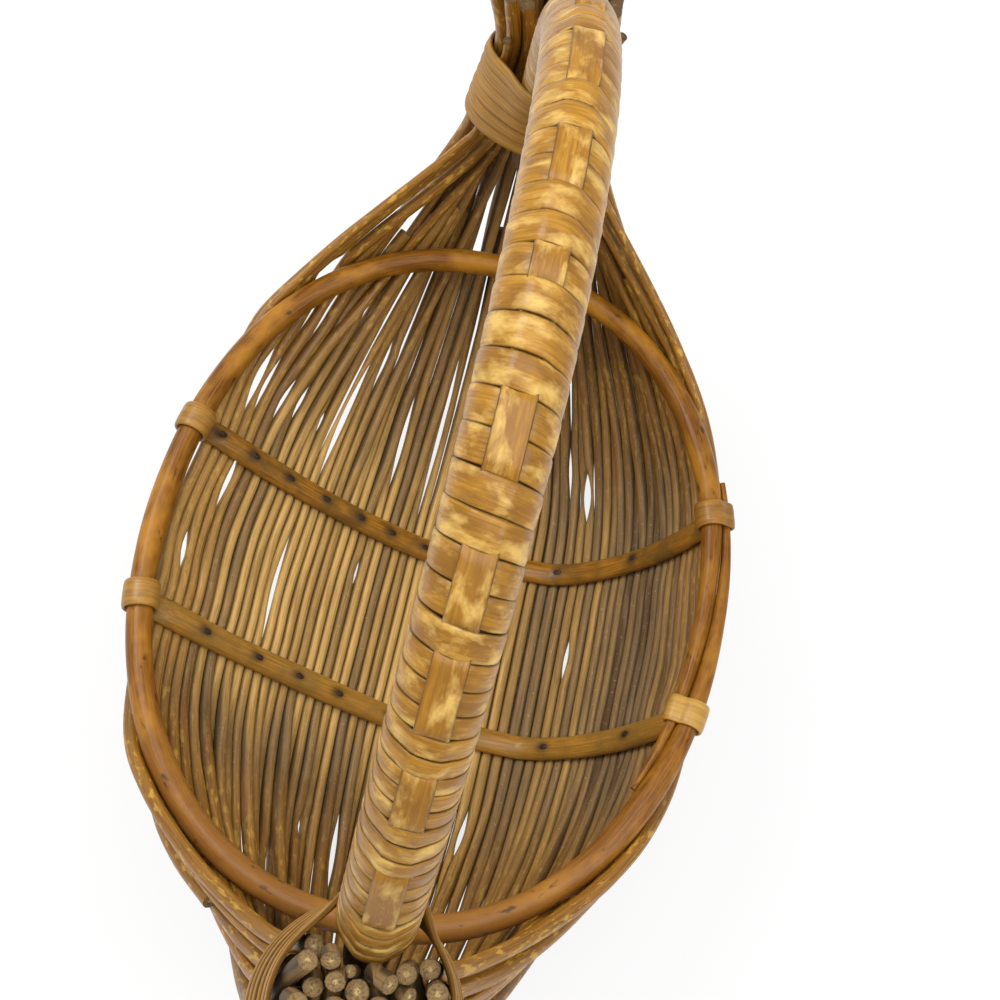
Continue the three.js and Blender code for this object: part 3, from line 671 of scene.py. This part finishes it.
def hold_in_bundle(reeds, radii, end, top_above):
    """Keeps the reeds within a bundle's winding at its foot and its top, and the near tips too."""
    for k, above in ((curve_stations, np.zeros(reed_count)), (curve_stations + 1, top_above)):
        outward = end * reeds[:, k, 0] - bundle_from_middle
        sideways = reeds[:, k, 1] - bundle_sideways[end]
        narrowing = (bundle_top_radius - bundle_base_radius) * above / bundle_height
        most = bundle_base_radius + narrowing - radii[:, k] - 0.2
        share = np.minimum(1, most / np.hypot(outward, sideways))
        held = np.stack(
            [
                end * (bundle_from_middle + outward * share),
                bundle_sideways[end] + sideways * share,
                bundle_base + above - bundle_tilt * outward * share,
            ],
            1,
        )
        reeds[~is_short, k] = held[~is_short]
    if end == 1:
        from_axis = reeds[:, -1, :2] - (bundle_from_middle, bundle_sideways[1])
        most = bundle_top_radius - 0.5 - radii[:, -1]
        share = np.minimum(1, most / np.linalg.norm(from_axis, axis=1))
        reeds[:, -1, :2] -= (1 - share)[:, None] * from_axis


def keep_clear(reeds, radii):
    """Keeps the reeds above the floor, and inside the rim's outside where they are as high."""
    body = reeds[:, 1:]
    body[..., 2] = np.maximum(body[..., 2], radii[:, 1:] + 0.02)
    high = body[..., 2] > rim_height - pole_radius
    room = pole_radius + radii[:, 1:] + 0.1
    total = (
        np.abs(body[..., 0] / (rim_half_length + room)) ** rim_squareness
        + np.abs(body[..., 1] / (rim_half_width + room)) ** rim_squareness
    )
    grow = np.where(high, np.maximum(1, total ** (-1 / rim_squareness)), 1)
    body[..., :2] *= grow[..., None]


def settled(end, passes=170, sight=5.0, least_room=0.04):
    """Pushes apart reeds that lie in each other, or in the rim or the handle."""
    points, radii, counts = reed_halves(end)
    stations = points.shape[1]
    rim = rim_line(np.linspace(0, 2 * math.pi, 73))
    foot_runs = np.array([0, 10, 20, 30, 40, 50, 58, 70, 85])
    in_bundle, wound_radius = 6, 14.3
    if end == -1:
        foot_runs = handle_run[-1] - foot_runs
    handle = handle_at(foot_runs)
    bare = np.arange(len(foot_runs)) < in_bundle
    handle_radii = np.where(bare, core_radius + 0.6, wound_radius)
    spots = np.vstack([points.reshape(-1, 3), rim, handle])
    thick = np.concatenate([radii.ravel(), np.full(len(rim), pole_radius), handle_radii])
    free = np.ones(len(spots))
    free[reed_count * stations :] = 0
    free[np.arange(reed_count) * stations] = 0
    first, second = pairs_that_may_touch(counts, stations, (rim, handle))
    least_all = np.maximum(thick[first], thick[first + 1])
    least_all = least_all + np.maximum(thick[second], thick[second + 1]) + least_room
    homes = spots.copy()
    is_thin = (np.arange(reed_count) % 2 == 1) & (end == 1)
    top_above = np.where(is_thin, thin_above, bundle_height)
    grid = np.arange(reed_count * stations).reshape(reed_count, stations)

    def distances(one, two):
        a, b, c, d = spots[one], spots[one + 1], spots[two], spots[two + 1]
        s, t = nearest_shares(a, b, c, d)
        away = a + (b - a) * s[:, None] - c - (d - c) * t[:, None]
        return s, t, away, np.linalg.norm(away, axis=1)

    for step in range(passes):
        if step % 17 == 0:
            close = distances(first, second)[3] < least_all + sight
            one, two, least = first[close], second[close], least_all[close]
        s, t, away, distance = distances(one, two)
        hit = (distance < least) & (distance > 1e-6)
        ends = (one[hit], one[hit] + 1, two[hit], two[hit] + 1)
        weights = (1 - s[hit], s[hit], t[hit] - 1, -t[hit])
        total = sum(w * w * free[e] for w, e in zip(weights, ends))
        push = (least[hit] - distance[hit]) / distance[hit] / np.maximum(total, 0.3)
        moves, counted = np.zeros_like(spots), np.zeros(len(spots))
        for w, e in zip(weights, ends):
            np.add.at(moves, e, away[hit] * (w * push * free[e])[:, None])
            np.add.at(counted, e, np.abs(w) * free[e])
        spots += moves / np.maximum(counted, 1)[:, None] ** 0.7
        reeds = spots[grid]
        if step < passes * 0.6:
            moved = reeds - homes[grid]
            reeds[:, 1:-1] += 0.3 * ((moved[:, :-2] + moved[:, 2:]) / 2 - moved[:, 1:-1])
        hold_in_bundle(reeds, radii, end, top_above)
        keep_clear(reeds, radii)
        spots[grid] = reeds
    # An end that was pushed aside more than it rises is stood up again.
    reeds = spots[grid]
    lean = reeds[:, -1, :2] - reeds[:, -2, :2]
    rise = np.abs(reeds[:, -1, 2] - reeds[:, -2, 2])
    lean *= np.minimum(1, 0.7 * rise / np.maximum(np.linalg.norm(lean, axis=1), 1e-6))[:, None]
    reeds[:, -1, :2] = reeds[:, -2, :2] + lean
    return reeds, radii, counts


def smooth_line(points, radii, spacing):
    """A soft curve through stations, with a radius at each of its points."""
    padded = np.vstack([2 * points[:1] - points[1:2], points, 2 * points[-1:] - points[-2:-1]])
    lines, thick = [], []
    for k in range(len(points) - 1):
        before, a, b, after = padded[k : k + 4]
        steps = max(int(np.linalg.norm(b - a) / spacing), 1)
        u = np.arange(steps)[:, None] / steps
        lines.append(
            0.5 * (2 * a + (b - before) * u + (2 * before - 5 * a + 4 * b - after) * u**2
                   + (3 * a - before - 3 * b + after) * u**3)
        )
        thick.append(radii[k] + (radii[k + 1] - radii[k]) * u[:, 0])
    return np.vstack([*lines, points[-1:]]), np.concatenate([*thick, radii[-1:]])


def from_middle(tree, grain, half_width):
    """How far from a reed's or a strip's middle a place is, as a share of half its width."""
    sideways = node(tree, "ShaderNodeSeparateXYZ", {"Vector": grain}).outputs["X"]
    return math_of(tree, "DIVIDE", math_of(tree, "ABSOLUTE", sideways), half_width)


reed_finish, tree, shader = finish_of("willow_skin", Specular_IOR_Level=0.3, Coat_Roughness=0.25)
grain = stored(tree, "grain", "Vector")
tone = stored(tree, "tone")
shine = stored(tree, "shine")
fibres = noise(tree, grain, 1.7, 4.0, 0.65, (1, 1, 0.03))
smears = noise(tree, grain, 0.12, 4.0, 0.6, (3, 3, 0.3))
flecks = noise(tree, grain, 0.20, 3.0, 0.6, (2.2, 2.2, 0.8))
dust = noise(tree, grain, 1.1, 2.0, 0.5)
# From golden by way of tan and taupe to dark brown, reed by reed and smear by smear.
toned = math_of(tree, "ADD", tone, math_of(tree, "MULTIPLY_ADD", smears, 0.9, -0.45))
worn = ramp(
    tree, toned,
    (0.0, (0.60, 0.365, 0.110)), (0.25, (0.41, 0.235, 0.062)), (0.55, (0.26, 0.155, 0.058)),
    (0.8, (0.20, 0.122, 0.050)), (1.0, (0.110, 0.056, 0.016)),
)
streaks = ramp(tree, fibres, (0.3, 0.45), (0.52, 1.0), (0.72, 1.3))
streaked = mixed(tree, 0.75, worn, streaks, "MULTIPLY")
dusty = mixed(tree, ramp(tree, dust, (0.66, 0.0), (0.74, 0.6)), streaked, colour(0.55, 0.42, 0.27))
skin = ramp(
    tree, fibres,
    (0.25, (0.14, 0.052, 0.006)), (0.5, (0.31, 0.132, 0.014)), (0.78, (0.46, 0.225, 0.034)),
)
flecked = mixed(tree, ramp(tree, flecks, (0.55, 0.0), (0.65, 0.85)), skin, colour(0.62, 0.36, 0.05))
# Dirt lies in the groove on either side of a reed, and painted shade darkens it further: each reed's
# sides are darkened.
groove_dirt_and_shade = ramp(tree, from_middle(tree, grain, 2.5), (0.62, 1.0), (0.95, 0.30))
dirt_and_shade_weight = math_of(tree, "MULTIPLY_ADD", shine, -0.75, 1.0)
both = mixed(tree, dirt_and_shade_weight, mixed(tree, shine, dusty, flecked), groove_dirt_and_shade, "MULTIPLY")
worn_rough = ramp(tree, smears, (0.3, 0.55), (0.7, 0.72))
skin_rough = ramp(tree, flecks, (0.3, 0.34), (0.7, 0.48))
coloured(tree, shader, both, mixed(tree, shine, worn_rough, skin_rough))
tree.links.new(math_of(tree, "MULTIPLY", shine, 0.25), shader.inputs["Coat Weight"])
bumped(tree, shader, mixed(tree, 0.3, fibres, smears), 0.4, 0.0005)

heart_finish, tree, shader = finish_of("willow_cut", Roughness=0.85, Specular_IOR_Level=0.25)
cells = noise(tree, stored(tree, "grain", "Vector"), 1.1, 4.0, 0.7)
rings = ramp(
    tree, stored(tree, "heart"),
    (0.0, (0.12, 0.062, 0.020)), (0.1, (0.30, 0.185, 0.075)), (0.66, (0.36, 0.235, 0.100)),
    (0.8, (0.60, 0.42, 0.17)), (1.0, (0.74, 0.55, 0.26)),
)
dusty = mixed(tree, ramp(tree, cells, (0.38, 0.8), (0.52, 0.0)), rings, colour(0.13, 0.085, 0.045))
age = ramp(tree, stored(tree, "tone"), (0.7, 0.0), (0.9, 0.8))
coloured(tree, shader, mixed(tree, age, dusty, colour(0.10, 0.055, 0.02)))
bumped(tree, shader, cells, 0.9, 0.0012)

near_points, near_radii, near_counts = settled(1)
far_points, far_radii, far_counts = settled(-1)
reed_lines = []
for i in range(reed_count):
    bow = chance.normal(0, 0.1)
    middle = at_rib(rib_places[i : i + 1] + bow, middle_radii[i] + reed_gap)
    middle[0, 0] = chance.uniform(-12, 12)
    up_wall = np.clip(middle[0, 2] / rim_height, 0, 1) ** 1.5
    middle[0, 1] += np.sign(middle[0, 1]) * up_wall * (rim_half_width - rim_reach(rib_from_middle))
    ribs = at_rib(np.full(2, rib_places[i]), middle_radii[i] + reed_gap)
    ribs[:, 0] = (-30.0, 30.0)
    back = slice(far_counts[i] - 1, None, -1)
    near = slice(0, near_counts[i])
    points = np.vstack([far_points[i, back], ribs[:1], middle, ribs[1:], near_points[i, near]])
    radii = np.concatenate([far_radii[i, back], np.full(3, middle_radii[i]), near_radii[i, near]])
    line, radii = smooth_line(points, radii, 3.6)
    starts = chance.uniform(0, 6.28, 3)
    radii = radii * uneven(run_along(line), (0.012, 9, starts[0]), (0.008, 4.1, starts[1]))
    reed_lines.append([line, radii])

# Neighbours press on each other while they dry, so each reed swells and shifts a little into
# the room that it has on either side.
pressed_reach, pressed_fade, most_swell = 118.0, 22, 0.45
stands = np.arange(-pressed_reach, pressed_reach + 0.1, 2.0)
easing = np.clip((pressed_reach - np.abs(stands)) / pressed_fade, 0, 1)
crossings = np.zeros((reed_count, len(stands), 3))
for i, (line, radii) in enumerate(reed_lines):
    kept = np.abs(line[:, 0]) < pressed_reach + 12
    for c, values in enumerate((line[kept, 1], line[kept, 2], radii[kept])):
        crossings[i, :, c] = np.interp(stands, line[kept, 0], values, left=np.nan, right=np.nan)
grown = crossings.copy()
for _ in range(12):
    step = grown[1:, :, :2] - grown[:-1, :, :2]
    apart = np.linalg.norm(step, axis=2)
    room = np.clip(apart - grown[1:, :, 2] - grown[:-1, :, 2], -0.4, 1.5)
    room = np.nan_to_num(room)
    before, after = np.vstack([0 * room[:1], room]), np.vstack([room, 0 * room[:1]])
    along = np.nan_to_num(step / apart[..., None])
    along = np.concatenate([along[:1], (along[:-1] + along[1:]) / 2, along[-1:]])
    grown[:, :, :2] += along * ((after - before) / 4 * easing)[..., None]
    grown[:, :, 2] += (after + before) / 6 * easing
    grown[:, :, 2] = np.minimum(grown[:, :, 2], crossings[:, :, 2] + most_swell * easing)
change = np.nan_to_num(grown - crossings)
for i, (line, radii) in enumerate(reed_lines):
    for c in (1, 2):
        line[:, c] += np.interp(line[:, 0], stands, change[i, :, c - 1], left=0, right=0)
    radii += np.interp(line[:, 0], stands, change[i, :, 2], left=0, right=0)

# Slits of light, where two neighbours have dried thin and drawn apart: the number of the reed
# on the left, from where to where along the basket, and how wide the slit shows.
slits = (
    (2, 8, 20, 1.2), (3, -80, -60, 1.3), (3, -122, -113, 0.8), (4, -78, -60, 0.8), (4, -30, -14, 0.8),
    (6, -75, -60, 0.9), (8, -78, -66, 0.9), (9, -126, -110, 1.3), (11, -73, -67, 0.7),
    (12, -12, 28, 1.2), (13, -100, -64, 0.5), (15, -117, -98, 0.8), (20, -21, -11, 0.7),
    (20, 97, 105, 0.8), (21, -106, -66, 1.9), (24, 89, 123, 2.1), (25, -138, -66, 2.0),
    (36, 77, 95, 1.6), (40, -106, -84, 1.5), (42, -91, -77, 1.2), (42, -11, 5, 1.3),
)
for left, start, stop, width in slits:
    pair = reed_lines[left - 1], reed_lines[left]
    centre, half_length = (start + stop) / 2, (stop - start) / 2
    middles = [line[np.abs(line[:, 0] - centre).argmin()] for line, radii in pair]
    across = middles[1] - middles[0]
    across[0] = 0
    # Seen from above, neighbours on a slope overlap, so a slit between them is opened wider.
    level_share = abs(across[1]) / np.linalg.norm(across)
    lost = pitch_of_reeds * (1 - level_share)
    wide = 2 * (width + lost) / (1 + level_share)
    shown = math.sqrt(1 - math.sqrt(min(2 * lost / (1 + level_share) / wide, 0.7)))
    for piece, way in zip(pair, (-1, 1)):
        line, radii = piece
        from_slit = (line[:, 0] - centre) / (half_length / shown)
        opened = np.where(np.abs(from_slit) < 1, (1 - np.minimum(from_slit**2, 1)) ** 2, 0)
        piece[0] = line + (way * wide / 4 * opened)[:, None] * unit(across)
        piece[1] = radii - wide / 4 * opened

# The reeds keep their glossy skin beyond the ribs and high up the walls. Where they are worn,
# those to the right are darker, and painted shade darkens those past the near rib on the left
# side and all those past the far rib. The ends in a bundle have aged.
farthest = 207.9
cad_reeds = {int(n[5:7]) - 1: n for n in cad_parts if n.startswith("reed_")}
for i, share in enumerate(across_bowl):
    line, radii = reed_lines[i]
    line[:, 2] = np.maximum(line[:, 2], radii + 0.02)
    line[:, 0] = np.clip(line[:, 0], radii - farthest, farthest - radii)
    along = line[:, 0]
    is_near = along > 0
    gathered = np.clip((line[:, 2] - bundle_base - 8) / 14, 0, 1)
    beyond = np.clip((np.abs(along) - 62) / 60, 0, 1)
    outer = np.clip((abs(share) - 0.75) / 0.16, 0, 1)
    inner = np.where(is_near, 0.4, 0.1)
    shine = np.clip(beyond * (inner + (1 - inner) * abs(share)) + 0.5 * outer, 0, 1)
    shine = np.where(is_near, shine * (1 - gathered), shine)
    pale_middle = 0.06 * math.exp(-(((share + 0.25) / 0.25) ** 2))
    leaning = 0.30 + 0.34 * np.clip(1.6 * share, -0.6, 1) - pale_middle
    own = np.clip(leaning + chance.normal(0, 0.30) * (1 - 0.55 * max(share, 0)), 0, 1)
    # Painted shade towards the rim: past the near rib on the left side, and past the far rib.
    painted_shade = (0.30 - 0.30 * np.clip(2 * share, -1, 1)) * np.clip((along - 45) / 40, 0, 1)
    painted_shade = painted_shade + 0.28 * np.clip((-60 - along) / 40, 0, 1)
    own = np.clip(own + painted_shade, 0, 1)
    tone = own + (np.where(is_near, 0.55, 0.95) - own) * gathered
    tangent = at_rib(rib_places[i] + 1, 0) - at_rib(rib_places[i] - 1, 0)
    outline = round_outline(radii, reed_sides)
    bm = new_piece()
    swept(bm, line, outline, tangent[None], tone=tone, shine=shine, shift=40.0 * i, cut=True)
    nodes = [cad_reeds[i]] if i in cad_reeds else []
    finished(bm, f"willow_reed_{i + 1:02d}", [reed_finish, heart_finish], "willow", *nodes)

# Bundle windings
# At each end a flat cane strip is wound about six times round the gathered reeds and the
# handle's foot, each turn hard against the last. It is matt and worn, and browner than the handle.
winding_turns, winding_steps, winding_thickness = 6, 64, 1.5
winding_tilt = -0.4


def painted_joint_shade(tree, grain, start, darkest):
    """Painted shade in the joints between turns, on a strip whose tone holds half its width."""
    half_width = math_of(tree, "MAXIMUM", stored(tree, "tone"), 0.5)
    return ramp(tree, from_middle(tree, grain, half_width), (start, 1.0), (1.0, darkest))


def strip_outline(widths, thickness, tilt=0.0):
    """A flat strip's section, with rounded edges and a crowned face. tilt lifts one edge."""
    sides = 12
    corner = np.arange(sides) * 2 * math.pi / sides + math.pi / sides
    across = power_of(np.cos(corner), 5)
    lift = power_of(np.sin(corner), 3.2)
    crown = 0.25 * (1 - across**2) * (lift > 0)
    wide = across * np.asarray(widths)[:, None] / 2
    high = (lift + crown) * thickness / 2 + tilt * across
    return np.stack([wide, np.broadcast_to(high, wide.shape)], -1)


winding_finish, tree, shader = finish_of("winding_cane", Specular_IOR_Level=0.3)
grain = stored(tree, "grain", "Vector")
fibres = noise(tree, grain, 1.5, 4.0, 0.6, (1, 1, 0.03))
clouds = noise(tree, grain, 0.05, 3.0, 0.6, (2, 2, 1))
wood = ramp(
    tree, fibres,
    (0.3, (0.24, 0.105, 0.013)), (0.52, (0.39, 0.190, 0.028)), (0.75, (0.52, 0.290, 0.062)),
)
shaded = mixed(tree, ramp(tree, clouds, (0.35, 0.6), (0.6, 0.0)), wood, colour(0.26, 0.120, 0.017))
# Painted shade darkens the joints between the turns.
joint_shaded = mixed(tree, 1.0, shaded, painted_joint_shade(tree, grain, 0.93, 0.4), "MULTIPLY")
coloured(tree, shader, joint_shaded, ramp(tree, clouds, (0.3, 0.5), (0.7, 0.62)))
bumped(tree, shader, fibres, 0.35, 0.0004)

for end, name in ((1, "near"), (-1, "far")):
    k = np.arange(winding_turns * winding_steps + 1)
    pitch = bundle_height / (winding_turns + 1)
    angle = 2 * math.pi * k / winding_steps
    above = pitch * (0.5 + k / winding_steps) + 0.25 * np.sin(angle * 1.31 + end)
    outside = 0.25 + winding_thickness / 2 + 0.12 * np.sin(angle * 0.77)
    line = bundle_skin(end, angle, above, outside)
    higher = bundle_skin(end, angle, above + 1, outside)
    widths = pitch * 1.03 + 0.22 * np.sin(k / 23) - 0.1
    outline = strip_outline(widths, winding_thickness, tilt=winding_tilt)
    bm = new_piece()
    swept(bm, line, outline, higher - line, tone=widths / 2)
    finished(bm, f"bundle_winding_{name}", [winding_finish], "winding_cane", f"winding_{name}")

# Handle core
# A stout rod bent to an arch, its two feet held in the bundles among the reeds and the near
# one pared there. It hardly shows, only in the dark lines between two turns of the winding.
core_stations, foot_paring, pared_until, paring_length = 180, 2.2, 46, 14
core_finish, tree, shader = finish_of("core_rod", Roughness=0.8)
fibres = noise(tree, stored(tree, "grain", "Vector"), 1.2, 3.0, 0.6, (1, 1, 0.04))
coloured(tree, shader, ramp(tree, fibres, (0.3, (0.08, 0.040, 0.012)), (0.7, (0.18, 0.095, 0.03))))
bumped(tree, shader, fibres, 0.4, 0.0005)
runs = np.linspace(0, handle_run[-1], core_stations)
radii = core_radius - foot_paring * np.clip((pared_until - runs) / paring_length, 0, 1)
bm = new_piece()
swept(bm, handle_at(runs), round_outline(radii, pole_sides), np.array([[0, 1.0, 0]]))
finished(bm, "handle_rod", [core_finish], "core_rod", "handle_core")

# Handle winding and leader
# One long strip of glossy cane is wound round the rod from foot to foot. A second strip, the
# leader, lies along the top. Each few turns go over it, and the next few go under it. The
# varnish has worn to pale yellow patches where the handle is held, and those patches also
# hold painted sheen.
strip_thickness, leader_width, leader_thickness = 1.25, 9.2, 1.0
under_strip = core_radius + 0.85
strip_lap, strip_tilt, leader_stations = 0.4, 0.15, 700
wound_from, wound_to = 46.0, handle_run[-1] - 46.0
# How wide a turn is at places along the handle's run, from the near foot.
pitch_places = np.array([0, 60, 100, 120, 140, 160, 200, 300, 400, 440, 520])
pitch_sizes = np.array([5.0, 5.5, 5.5, 4.9, 6.2, 8.0, 9.0, 8.7, 8.0, 6.0, 5.4])

strip_finish, tree, shader = finish_of(
    "handle_cane", Specular_IOR_Level=0.28, Coat_Weight=0.18, Coat_Roughness=0.2
)
grain = stored(tree, "grain", "Vector")
fibres = noise(tree, grain, 1.5, 4.0, 0.62, (1, 1, 0.04))
clouds = noise(tree, grain, 0.055, 4.0, 0.65, (2.5, 2.5, 1))
wear_and_sheen = noise(tree, grain, 0.14, 4.0, 0.6, (1.2, 1.2, 0.6), 0.25)
wood = ramp(
    tree, fibres,
    (0.28, (0.27, 0.109, 0.007)), (0.52, (0.43, 0.203, 0.017)), (0.76, (0.56, 0.293, 0.036)),
)
browned = mixed(tree, ramp(tree, clouds, (0.38, 0.85), (0.60, 0.0)), wood, colour(0.24, 0.100, 0.010))
browner = mixed(tree, stored(tree, "shine"), browned, colour(0.27, 0.115, 0.012))
# Pale yellow patches: worn varnish, and painted sheen as well.
patches = mixed(tree, ramp(tree, wear_and_sheen, (0.5, 0.0), (0.68, 0.8)), browner, colour(0.78, 0.51, 0.140))
# Painted shade darkens the joints between the turns.
joint_shaded = mixed(tree, 1.0, patches, painted_joint_shade(tree, grain, 0.88, 0.3), "MULTIPLY")
coloured(tree, shader, joint_shaded, ramp(tree, wear_and_sheen, (0.4, 0.3), (0.66, 0.5)))
bumped(tree, shader, mixed(tree, 0.5, fibres, wear_and_sheen), 0.5, 0.0008)

fine = np.linspace(wound_from, wound_to, 4001)
turn_shares = np.diff(fine) / np.interp(fine[1:], pitch_places, pitch_sizes)
turns_at = np.concatenate([[0], turn_shares.cumsum()])


def handle_frame(run):
    """The handle's line, and the directions ahead, sideways and outward from its hollow."""
    place = handle_at(run)
    ahead = unit(handle_at(run + 1.5) - handle_at(run - 1.5))
    sideways = unit(np.array([0, 1.0, 0]) - ahead[:, 1:2] * ahead)
    return place, ahead, sideways, np.cross(sideways, ahead)


def soft_step(value, softness):
    return 1 / (1 + np.exp(-value / softness))


# Where the leader shows, as stretches of the handle's run from the near foot, which are then
# taken to whole turns.
leader_windows = (
    (70, 92), (106, 120), (130, 148), (161, 177), (193, 213), (233, 250), (264, 279), (300, 326),
    (345, 362), (378, 394), (410, 428), (444, 462),
)
leader_shows = [tuple(np.interp(ends, fine, turns_at).round()) for ends in leader_windows]


def leader_over(turns):
    """1 where the leader lies over the turns, 0 where they go over it."""
    share = np.zeros_like(turns)
    for start, stop in leader_shows:
        rise, fall = soft_step(turns - start, 0.09), soft_step(stop - turns, 0.09)
        share = np.maximum(share, rise * fall)
    return share


turn_steps = 40
turns = np.arange(int(turns_at[-1] * turn_steps)) / turn_steps
runs = np.interp(turns, turns_at, fine)
pitches = np.interp(runs, pitch_places, pitch_sizes)
angle = 2 * math.pi * turns - math.pi / 2
from_crown = (angle - math.pi / 2 + math.pi) % (2 * math.pi) - math.pi
past_leader = np.abs(from_crown) * (under_strip + 1) - leader_width / 2 - 0.5
raised = leader_thickness * soft_step(-past_leader, 0.5) * (1 - leader_over(turns))
chance = np.random.default_rng(5)
half_turns = len(turns) // turn_steps * 2 + 3
wobble = np.interp(turns, np.arange(half_turns) / 2, chance.normal(0, 0.1, half_turns))
radius = under_strip + strip_thickness / 2 + raised
place, ahead, sideways, outward = handle_frame(runs + wobble)
line = place + outward * (radius * np.sin(angle))[:, None]
line = line + sideways * (radius * np.cos(angle))[:, None]
outline = strip_outline(pitches + strip_lap, strip_thickness, tilt=strip_tilt)
bm = new_piece()
swept(bm, line, outline, ahead, tone=(pitches + strip_lap) / 2)
finished(bm, "handle_winding_strip", [strip_finish], "handle_cane", "handle_winding")

runs = np.linspace(wound_from + 1, wound_to - 1, leader_stations)
place, ahead, sideways, outward = handle_frame(runs)
low = under_strip + leader_thickness / 2 - 0.2
high = under_strip + strip_thickness + leader_thickness / 2 + 0.25
radius = low + (high - low) * leader_over(np.interp(runs, fine, turns_at))
brown = np.interp(runs, [0, 180, 300], [0.6, 0.35, 0.1])
line = place + outward * radius[:, None]
outline = strip_outline(np.full(leader_stations, leader_width), leader_thickness)
bm = new_piece()
swept(bm, line, outline, sideways, tone=leader_width / 2, shine=brown)
finished(bm, "handle_leader_strip", [strip_finish], "handle_cane", "handle_leader")

# Floor and light
# A pale floor that shows as white, with the basket's soft shadow kept on it, under a broad
# soft lamp from the left and weaker ones above and from the right. Sizes here are in metres.
floor_half, floor_drop, floor_whiteness = 3.0, 0.0002, 0.8
floor_finish, tree, shader = finish_of(
    "pale_floor", Roughness=0.9, Base_Color=colour(0.93, 0.93, 0.93)
)
glow = node(tree, "ShaderNodeEmission", {"Color": (1, 1, 1, 1), "Strength": 1.0})
path = node(tree, "ShaderNodeLightPath", {})
seen = math_of(tree, "MULTIPLY", path.outputs["Is Camera Ray"], floor_whiteness)
blend = node(tree, "ShaderNodeMixShader", {0: seen, 1: shader.outputs[0], 2: glow.outputs[0]})
tree.links.new(blend.outputs[0], tree.nodes["Material Output"].inputs["Surface"])
bm = bmesh.new()
bmesh.ops.create_grid(bm, x_segments=1, y_segments=1, size=floor_half)
bmesh.ops.translate(bm, verts=bm.verts, vec=(0, 0, -floor_drop))
floor_mesh = bpy.data.meshes.new("floor")
bm.to_mesh(floor_mesh)
bm.free()
floor_mesh.materials.append(floor_finish)
floor = bpy.data.objects.new("floor", floor_mesh)
scene.collection.objects.link(floor)


def lamp(name, place, size, power):
    """A round soft lamp that is aimed at the bowl."""
    light = bpy.data.lights.new(name, "AREA")
    light.shape = "DISK"
    light.size = size
    light.energy = power
    made = bpy.data.objects.new(name, light)
    made.location = place
    bowl = Vector((0, 0, 0.1))
    made.rotation_euler = (bowl - Vector(place)).to_track_quat("-Z", "Y").to_euler()
    scene.collection.objects.link(made)


lamp("soft_side", (-0.35, -0.8, 1.35), 0.7, 11)
lamp("soft_top", (0.1, 0.1, 1.5), 1.2, 9)
lamp("soft_right", (0.35, 0.95, 1.1), 0.6, 4)
world_light = 0.55
world = bpy.data.worlds.new("plain_world")
world.use_nodes = True
tree = world.node_tree
backdrop = tree.nodes["Background"]
backdrop.inputs["Color"].default_value = (1, 1, 1, 1)
seen = node(tree, "ShaderNodeLightPath", {}).outputs["Is Camera Ray"]
strength = math_of(tree, "MULTIPLY_ADD", seen, 1 - world_light, world_light)
tree.links.new(strength, backdrop.inputs["Strength"])
scene.world = world
scene.view_settings.view_transform = "Standard"
